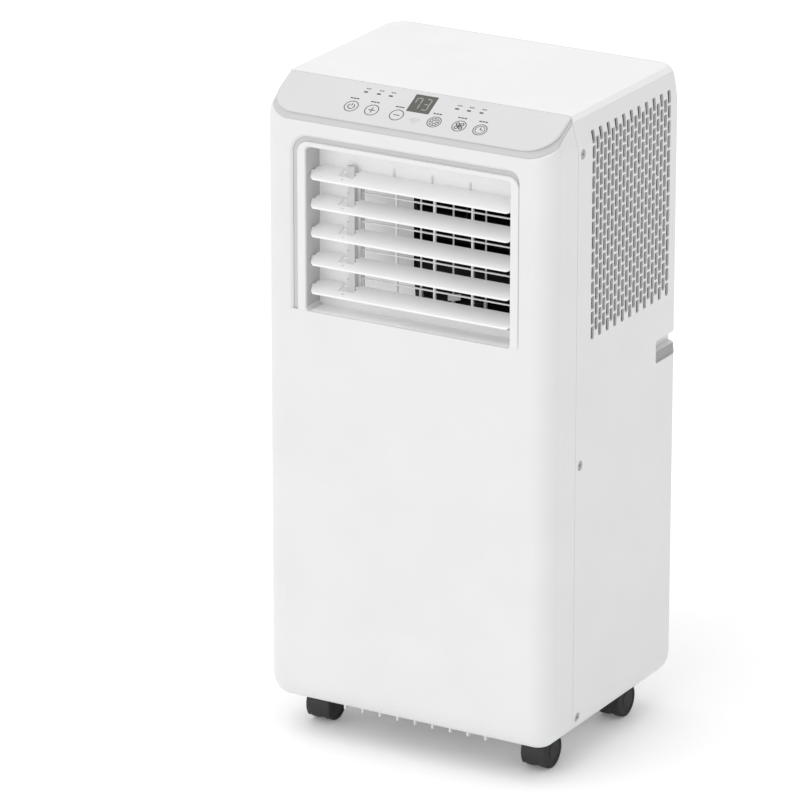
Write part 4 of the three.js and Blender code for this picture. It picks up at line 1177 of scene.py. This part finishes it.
control_deck()
deck_skirt()
display_window()
display_digits()
printed_marks()
louvre_surround()
pocket_lining()
for number, height in enumerate(BLADE_Z, 1):
    louvre_blade(height, f"louvre_blade_{number}")
tie_bar()
outlet_guard()
for number, across in enumerate(VANE_X, 1):
    air_vane(across, f"air_vane_{number}", number == 2)
vane_link()
duct()
fan_wheel()
framed_net("side_filter_left", "x", "left_filter", SIDE_NET)
framed_net("side_filter_right", "x", "right_filter", SIDE_NET)
framed_net("rear_filter", "y", "rear_filter", REAR_NET)
shelf_shade_pad(1, "right")
shelf_shade_pad(-1, "left")
exhaust_collar()
rear_grille()
filter_door()
remote_pocket()
for name, at in DRAINS.items():
    drain_plug(name, *at)
cord_inlet()
for name, (side, row) in CASTERS.items():
    caster(name, side, row)
base_pan()

# ---- inner parts whose CAD shape stays, with better finishes ----
KEPT = ((BOARD, "control_board"), (FOAM, "partition_tray"), (FINS, "evaporator_coil condenser_coil"),
        (STEEL, "louvre_motor fan_motor blower_motor run_capacitor"), (BLACK_PLASTIC, "blower_wheel"),
        (INNER_WHITE, "blower_scroll exhaust_duct electrical_box"), (PAINTED_BLACK, "compressor accumulator"),
        (COPPER, "suction_pipe discharge_pipe"))
for finish, names in KEPT:
    for name in names.split():
        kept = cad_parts[name]
        kept.data.materials.clear()
        kept.data.materials.append(finish)


# ---- stage: floor, light, camera ----
FLOOR_RADIUS = 16000.0


def floor():
    sheet = raw_object(rod("z", 0, 0, FLOOR_RADIUS, -2, 0, 96), "floor")
    finish = moulded("studio_floor", grey(250), rough=(0.55, 0.65), spread=0.003, grain=40.0, glow=0.1)
    sheet.data.materials.append(finish)


def sun(name, direction, strength, spread):
    light = bpy.data.lights.new(name, "SUN")
    light.energy = strength
    light.angle = radians(spread)
    lamp = new_object(name, light)
    lamp.rotation_mode = "QUATERNION"
    lamp.rotation_quaternion = Vector(direction).to_track_quat("Z", "Y")


def studio():
    world = bpy.data.worlds.new("studio")
    world.use_nodes = True
    connect(world.node_tree.nodes["Background"], Color=(1, 1, 1, 1), Strength=0.75)
    bpy.context.scene.world = world
    sun("top_softbox", (-0.1, -0.15, 1), 0.9, 70)
    sun("front_softbox", (-0.35, -1, 0.5), 0.55, 60)
    bpy.context.scene.view_settings.view_transform = "Standard"
    bpy.context.scene.view_settings.look = "None"


CAMERA_TURN = radians(30.19)    # the camera fitted to the photo
CAMERA_RISE = radians(19.55)
CAMERA_LENS = 272.4
CAMERA_DISTANCE = 5909.66


def camera():
    turn, rise = CAMERA_TURN, CAMERA_RISE
    back = Vector((sin(turn) * cos(rise), -cos(turn) * cos(rise), sin(rise)))
    right = Vector((cos(turn), sin(turn), 0))
    up = back.cross(right)
    target = Vector((0, -76.8, 337)) + right * -34.02 + up * 21.04
    data = bpy.data.cameras.new("camera")
    data.lens = CAMERA_LENS
    data.sensor_width = 36
    data.clip_end = 60
    eye = new_object("camera", data)
    axes = Matrix((right, up, back)).transposed().to_4x4()
    eye.matrix_world = Matrix.Translation((target + back * CAMERA_DISTANCE) * MM) @ axes
    bpy.context.scene.camera = eye


floor()
studio()
camera()
